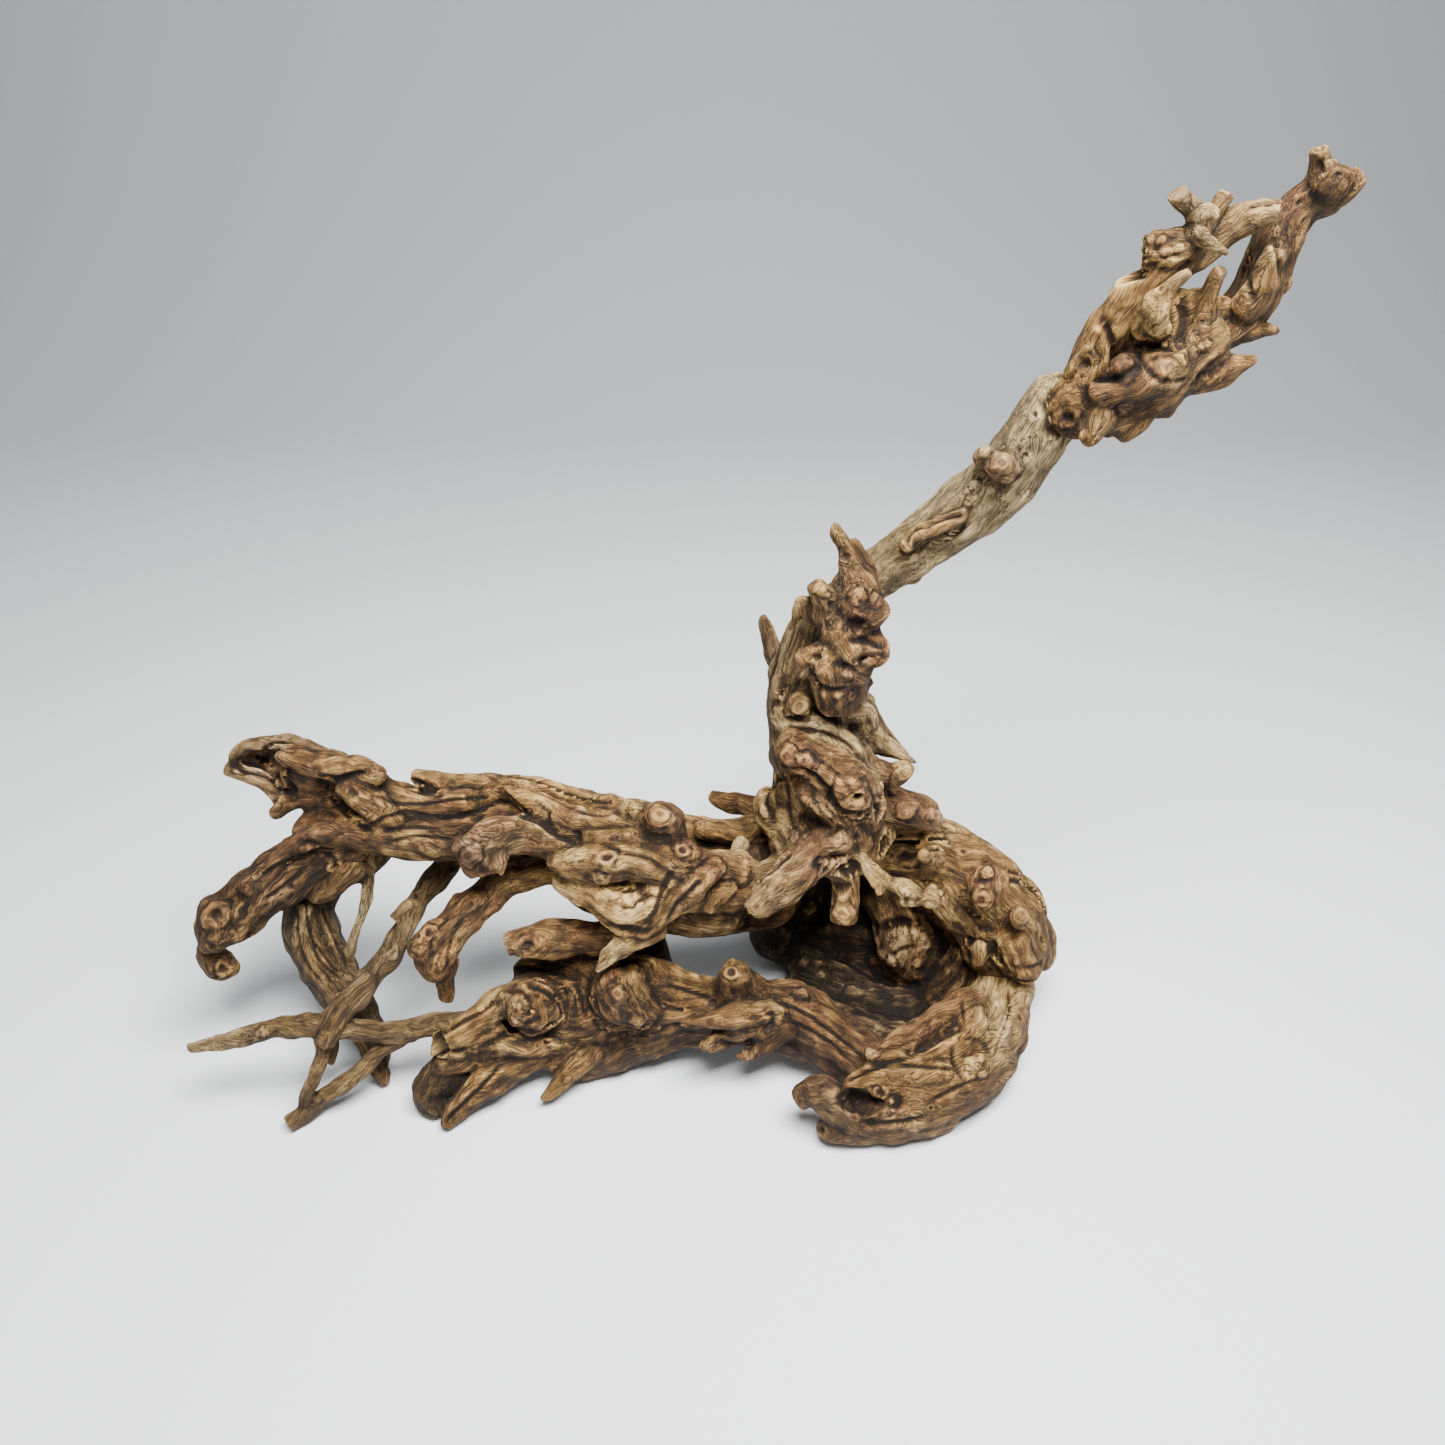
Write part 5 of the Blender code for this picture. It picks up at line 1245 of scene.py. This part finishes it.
# the wall and floor of the hollow, and the two roots that stand behind it
backRoot = {
    "node": "back_root", "slot": "grey_brown_wood", "cell": 1.15, "seed": 13, "tone": (0, 0.35, 0.2),
    "paleBehind": 1.3, "scatter": {"count": 110, "smallest": 1.2, "largest": 3.4},
    "limbTones": {"bulb": (0.12, 0, 0), "near floor": (0, 0.8, 0.2), "floor": (0, 0.8, 0.2)},
    # painted shade darkens the floor, walls and fill inside the hollow
    "limbShades": {
        "near floor": 0.75, "floor": 0.8, "floor back": 1, "floor corner": 0.9, "left wall": 1,
        "rotted fill": 1, "wall": 0.9, "right wall": 0.4, "bulb": 0.15,
    },
    "limbs": {
        "wall": [(58, 34, 100, 14), (64, 46, 78, 18), (70, 54, 48, 20), (74, 52, 18, 18)],
        "left wall": [(46, 36, 84, 12), (44, 40, 52, 14), (39, 42, 28, 16), (37, 38, 11, 15)],
        "rotted fill": [(38, 37, 14, 13), (58, 37, 14, 14), (74, 38, 14, 14)],
        "bulb": [(84, 38, 46, 13), (93, 28, 33, 16.5), (93, 25, 22, 17.5), (88, 28, 12, 13)],
        "near floor": [(98, -14, 3, 7), (82, -12, 4, 8.5), (66, -8, 5, 9), (52, 0, 7, 9), (38, 12, 8, 10)],
        "right wall": [(118, 10, 34, 8), (113, 8, 20, 9), (106, 6, 8, 10)],
        "floor corner": [(96, 32, 5, 9), (112, 32, 5, 9), (121, 24, 8, 9)],
        "floor back": [(88, 20, 4, 9), (74, 26, 5, 10), (60, 26, 5, 10), (44, 26, 6, 10)],
        "floor": [(108, 18, 3, 8), (96, 5, 3, 9), (80, 3, 5, 11), (62, 8, 9, 12), (46, 20, 11, 13)],
        "rear foot": [(76, 56, 32, 16), (84, 66, 15, 13), (90, 73, 5, 9)],
        "second foot": [(44, 44, 34, 13), (38, 60, 12, 10), (35, 69, 4.5, 7)],
    },
    "knots": {
        "ring": [(925, 943, 7)],
        "boss": [(893, 961, 6)],
    },
    "grooves": [
        (2.2, 3.6, [(888, 925), (900, 921), (916, 924)]),
        (0.9, 1, [(894, 952), (904, 948), (914, 946)]),
    ],
}
growPiece(backRoot)

# the leg that swings forward from under the plate and hangs over the low log
frontLeg = {
    "node": "front_leg", "slot": "brown_wood", "cell": 0.75, "seed": 14, "shade": 0.08, "tone": (0, 0, 0),
    "limbs": {
        "leg": [(-26, 9, 68, 8), (-48, 5, 80, 7), (-66, 3, 84, 7), (-80, -2, 83, 7), (-92, -9, 77, 8.5),
            (-102, -17, 69, 8.5), (-107, -22, 62, 8.5), (-108, -24, 56, 7)],
        "front bulge": [(-89, -11, 83, 4), (-100, -18, 77, 4), (-108, -25, 73, 5.5), (-113, -26, 67, 5)],
        "toe": [(-104, -19, 56, 5), (-105, -23, 46, 4.5), (-106, -25, 39, 3.5)],
    },
    "knots": {
        "hollow": [(428, 932, 9)],
        "ring": [(418, 947, 9), (441, 962, 8)],
        "pit": [(470, 905, 5)],
    },
    "grooves": [
        (1, 1, [(450, 915), (435, 935), (430, 955)]),
        (1, 1, [(462, 920), (450, 945), (445, 970)]),
    ],
}
growPiece(frontLeg)

# the short limb that drops from the log's left end and turns in at its knob
leftHook = {
    "node": "left_hook", "slot": "brown_wood", "cell": 0.8, "seed": 15, "shade": 0.46,
    "tone": (0, 0.05, 0.05),
    "limbs": {
        "limb": [(-138, 6, 100, 10), (-157, 3, 93, 11), (-170, -1, 86, 12.5), (-182, -5, 78, 12),
            (-193, -9, 70, 11.5), (-196, -13, 70, 11)],
        "ridge": [(-136, -2, 113, 4), (-156, -5, 108, 4.5), (-169, -9, 99, 4), (-181, -13, 88, 4)],
        "knob": [(-195, -15, 82, 7), (-197, -17, 73, 8), (-198, -16, 64, 8)],
        "tail": [(-204, -13, 61, 5.5), (-202, -15, 54, 6.5), (-198, -16, 48, 6), (-194, -16, 47, 4)],
    },
    "knots": {
        "hollow": [(217, 915, 15), (335, 868, 7), (224, 968, 8)],
        "ring": [(220, 935, 10), (312, 850, 8)],
        "pit": [(290, 887, 4)],
    },
    "grooves": [
        (1.4, 1.8, [(232, 955), (245, 945), (252, 930)]),
        (1, 1.2, [(255, 880), (275, 868), (300, 857)]),
        (1, 1.2, [(262, 900), (285, 885), (305, 868)]),
        (1.2, 1.6, [(300, 842), (318, 846), (330, 858), (340, 872)]),
    ],
    "cuts": {
        "tail": {"start": True, "rough": 0.2, "dish": 0.6},
    },
}
growPiece(leftHook)

# the fluted grey-green root that twists down from under the hook to the ground
twistedLeg = {
    "node": "twisted_leg", "slot": "green_brown_wood", "cell": 0.8, "seed": 16, "relief": 0.7, "shade": 0.4,
    "tone": (0.08, 0.5, 0),
    "limbTones": {"bark strip": (0.9, 0, -0.4), "inner lump": (0, 0.1, 0), "root": (0, 0.1, 0)},
    "limbShades": {"inner lump": 0.2, "root": 0.3, "bark strip": -0.1},
    "limbs": {
        "inner lump": [(-143, 4, 92, 8), (-146, 1, 88, 8), (-153, -1, 81, 7), (-159, -1, 75, 5)],
        "root": [(-132, 8, 92, 6), (-136, 7, 88, 6), (-142, 5, 85, 7), (-152, 5, 82, 7)],
        "leg": [(-150, 11, 88, 8), (-162, 7, 71, 9.5), (-166, 3, 61, 11), (-165, -1, 50, 12),
            (-160, -6, 40, 12), (-152, -13, 30, 10.5), (-145, -19, 21, 8.5), (-139, -25, 10, 6.5),
            (-134, -37, 3, 3.5)],
        "flute": [(-164, -3, 71, 4), (-167, -8, 59, 4.5), (-163, -13, 47, 4.5), (-154, -19, 36, 4),
            (-147, -23, 26, 4)],
        "bark strip": [(-135, 4, 94, 3.4), (-137, 1, 82, 2.5), (-140, -2, 70, 2.8), (-143, -4, 62, 2.2),
            (-147, -6, 52, 2.6), (-150.5, -7, 42, 2.2)],
    },
    "grooves": [
        (0.7, 0.8, [(305, 900), (310, 931), (320, 959), (338, 977)]),
        (0.7, 0.8, [(320, 900), (327, 922), (338, 946), (347, 966)]),
        (0.7, 0.7, [(296, 905), (298, 935), (306, 962), (324, 985)]),
        (0.7, 0.7, [(312, 940), (326, 958), (336, 972)]),
    ],
}
growPiece(twistedLeg)

# the dark stick that comes down from under the log and crosses in front of the leg
crossingStick = {
    "node": "crossing_stick", "slot": "grey_brown_wood", "cell": 0.65, "seed": 17, "shade": 0.1,
    "tone": (0, 0.75, 0),
    "limbTones": {"stick end": (0.05, 0.35, 0.2), "side stub": (0.1, 0.3, 0)},
    "limbs": {
        "stick": [(-106, 18, 82, 6), (-109, 15, 77, 5.5), (-114, 9, 73, 5.5), (-120, 1, 68, 5),
            (-124, -9, 63, 5), (-128, -19, 57, 5), (-134, -27, 54, 5), (-140, -35, 49, 5)],
        "stick end": [(-131, -23, 56, 4.5), (-137, -31, 52, 5.5), (-141, -36, 48, 6.2),
            (-146, -42, 44, 5.8), (-150, -46, 38, 4.5)],
        "side stub": [(-119, 1, 67, 3.5), (-123, -3, 70, 3), (-127, -7, 67, 2.5)],
    },
    "knots": {
        "hollow": [(394, 953, 6)],
    },
    "cuts": {
        "side stub": {"rough": 0.3, "dish": 0.2},
    },
}
growPiece(crossingStick)

# the long pale stick near the ground, with its two crossed feet at the left
longStick = {
    "node": "long_stick", "slot": "grey_brown_wood", "cell": 0.7, "seed": 18, "shade": 0.12,
    "tone": (0, 0.6, 0),
    "limbTones": {"stick": (0, 0.6, 0.1), "peeled end": (0.5, 0.1, -0.2)},
    "limbs": {
        "peeled end": [(-206, -44, 32, 2.5), (-191, -44, 36, 3.5), (-175, -43, 40, 4.2)],
        "stick": [(-175, -43, 40, 4), (-160, -42, 43, 5), (-145, -40, 39, 5), (-131, -37, 34, 4.5),
            (-113, -33, 32, 5), (-99, -30, 30, 6), (-88, -27, 28, 6)],
        "foot": [(-122, -34, 30, 4), (-132, -39, 24, 4), (-143, -47, 17, 4), (-157, -51, 7, 4),
            (-167, -59, 3.5, 4)],
        "crossed foot": [(-152, -42, 38, 3), (-152, -47, 30, 3.5), (-155, -51, 22, 3), (-162, -52, 8, 3)],
        "spur": [(-150, -38, 32, 3), (-152, -39, 25, 3), (-152, -41, 19, 2.5)],
    },
    "cuts": {
        "peeled end": {"start": True, "rough": 0.3, "dish": 0.2},
        "foot": {"rough": 0.3, "dish": 0.2},
    },
}
growPiece(longStick)


studio = {
    "floorSize": 6.0,
    "wallPlace": 1.5,
    "wallHeight": 3.0,
    "sweep": 0.7,
    "sweepSteps": 24,
    "floorColour": (0.89, 0.903, 0.912),
    "worldColour": (0.80, 0.86, 0.92),
    "worldStrength": 0.16,
    "aim": (0.0, 0.0, 0.12),
    "lights": {
        "key light": {"place": (0.13, -0.24, 0.80), "size": (0.55, 0.32), "power": 23.0},
        "fill light": {"place": (-0.9, -0.9, 0.7), "size": (0.8, 0.8), "power": 1.4},
    },
}


def makeFloor():
    # a floor that sweeps up into a pale wall well behind the wood
    half = studio["floorSize"] / 2
    shape = bmesh.new()
    bmesh.ops.create_grid(shape, x_segments=1, y_segments=1, size=half)
    back = [edge for edge in shape.edges if all(vertex.co.y > half * 0.9 for vertex in edge.verts)]
    risen = bmesh.ops.extrude_edge_only(shape, edges=back)["geom"]
    corners = [part for part in risen if isinstance(part, bmesh.types.BMVert)]
    bmesh.ops.translate(shape, verts=corners, vec=(0, 0, studio["wallHeight"]))
    bmesh.ops.bevel(shape, geom=back, offset=studio["sweep"], segments=studio["sweepSteps"],
                    profile=0.5, affect="EDGES")
    bmesh.ops.translate(shape, verts=shape.verts, vec=(0, studio["wallPlace"] - half, 0))
    bmesh.ops.recalc_face_normals(shape, faces=shape.faces)
    mesh = bpy.data.meshes.new("floor")
    shape.to_mesh(mesh)
    shape.free()
    mesh.shade_smooth()
    material = bpy.data.materials.new("pale floor")
    material.use_nodes = True
    shader = material.node_tree.nodes["Principled BSDF"]
    shader.inputs["Base Color"].default_value = (*studio["floorColour"], 1.0)
    shader.inputs["Roughness"].default_value = 0.9
    mesh.materials.append(material)
    floor = bpy.data.objects.new("floor", mesh)
    bpy.context.collection.objects.link(floor)


def lightStudio():
    world = bpy.data.worlds.new("studio")
    bpy.context.scene.world = world
    world.use_nodes = True
    background = world.node_tree.nodes["Background"]
    background.inputs["Color"].default_value = (*studio["worldColour"], 1.0)
    background.inputs["Strength"].default_value = studio["worldStrength"]
    for name, lamp in studio["lights"].items():
        light = bpy.data.lights.new(name, "AREA")
        light.shape = "RECTANGLE"
        light.size, light.size_y = lamp["size"]
        light.energy = lamp["power"]
        thing = bpy.data.objects.new(name, light)
        thing.location = lamp["place"]
        away = np.array(lamp["place"]) - np.array(studio["aim"])
        level = math.hypot(away[0], away[1])
        thing.rotation_euler = (math.atan2(level, away[2]), 0, math.atan2(away[0], -away[1]))
        bpy.context.collection.objects.link(thing)


def makeCamera():
    lens = bpy.data.cameras.new("camera")
    lens.lens = view["lens"]
    lens.sensor_width = view["sensor"]
    camera = bpy.data.objects.new("camera", lens)
    camera.location = (np.array(view["place"]) - drawingMiddle) * mm
    camera.rotation_euler = (math.radians(90 - view["tilt"]), 0, 0)
    bpy.context.collection.objects.link(camera)
    bpy.context.scene.camera = camera


makeFloor()
lightStudio()
makeCamera()
print("studio ready")
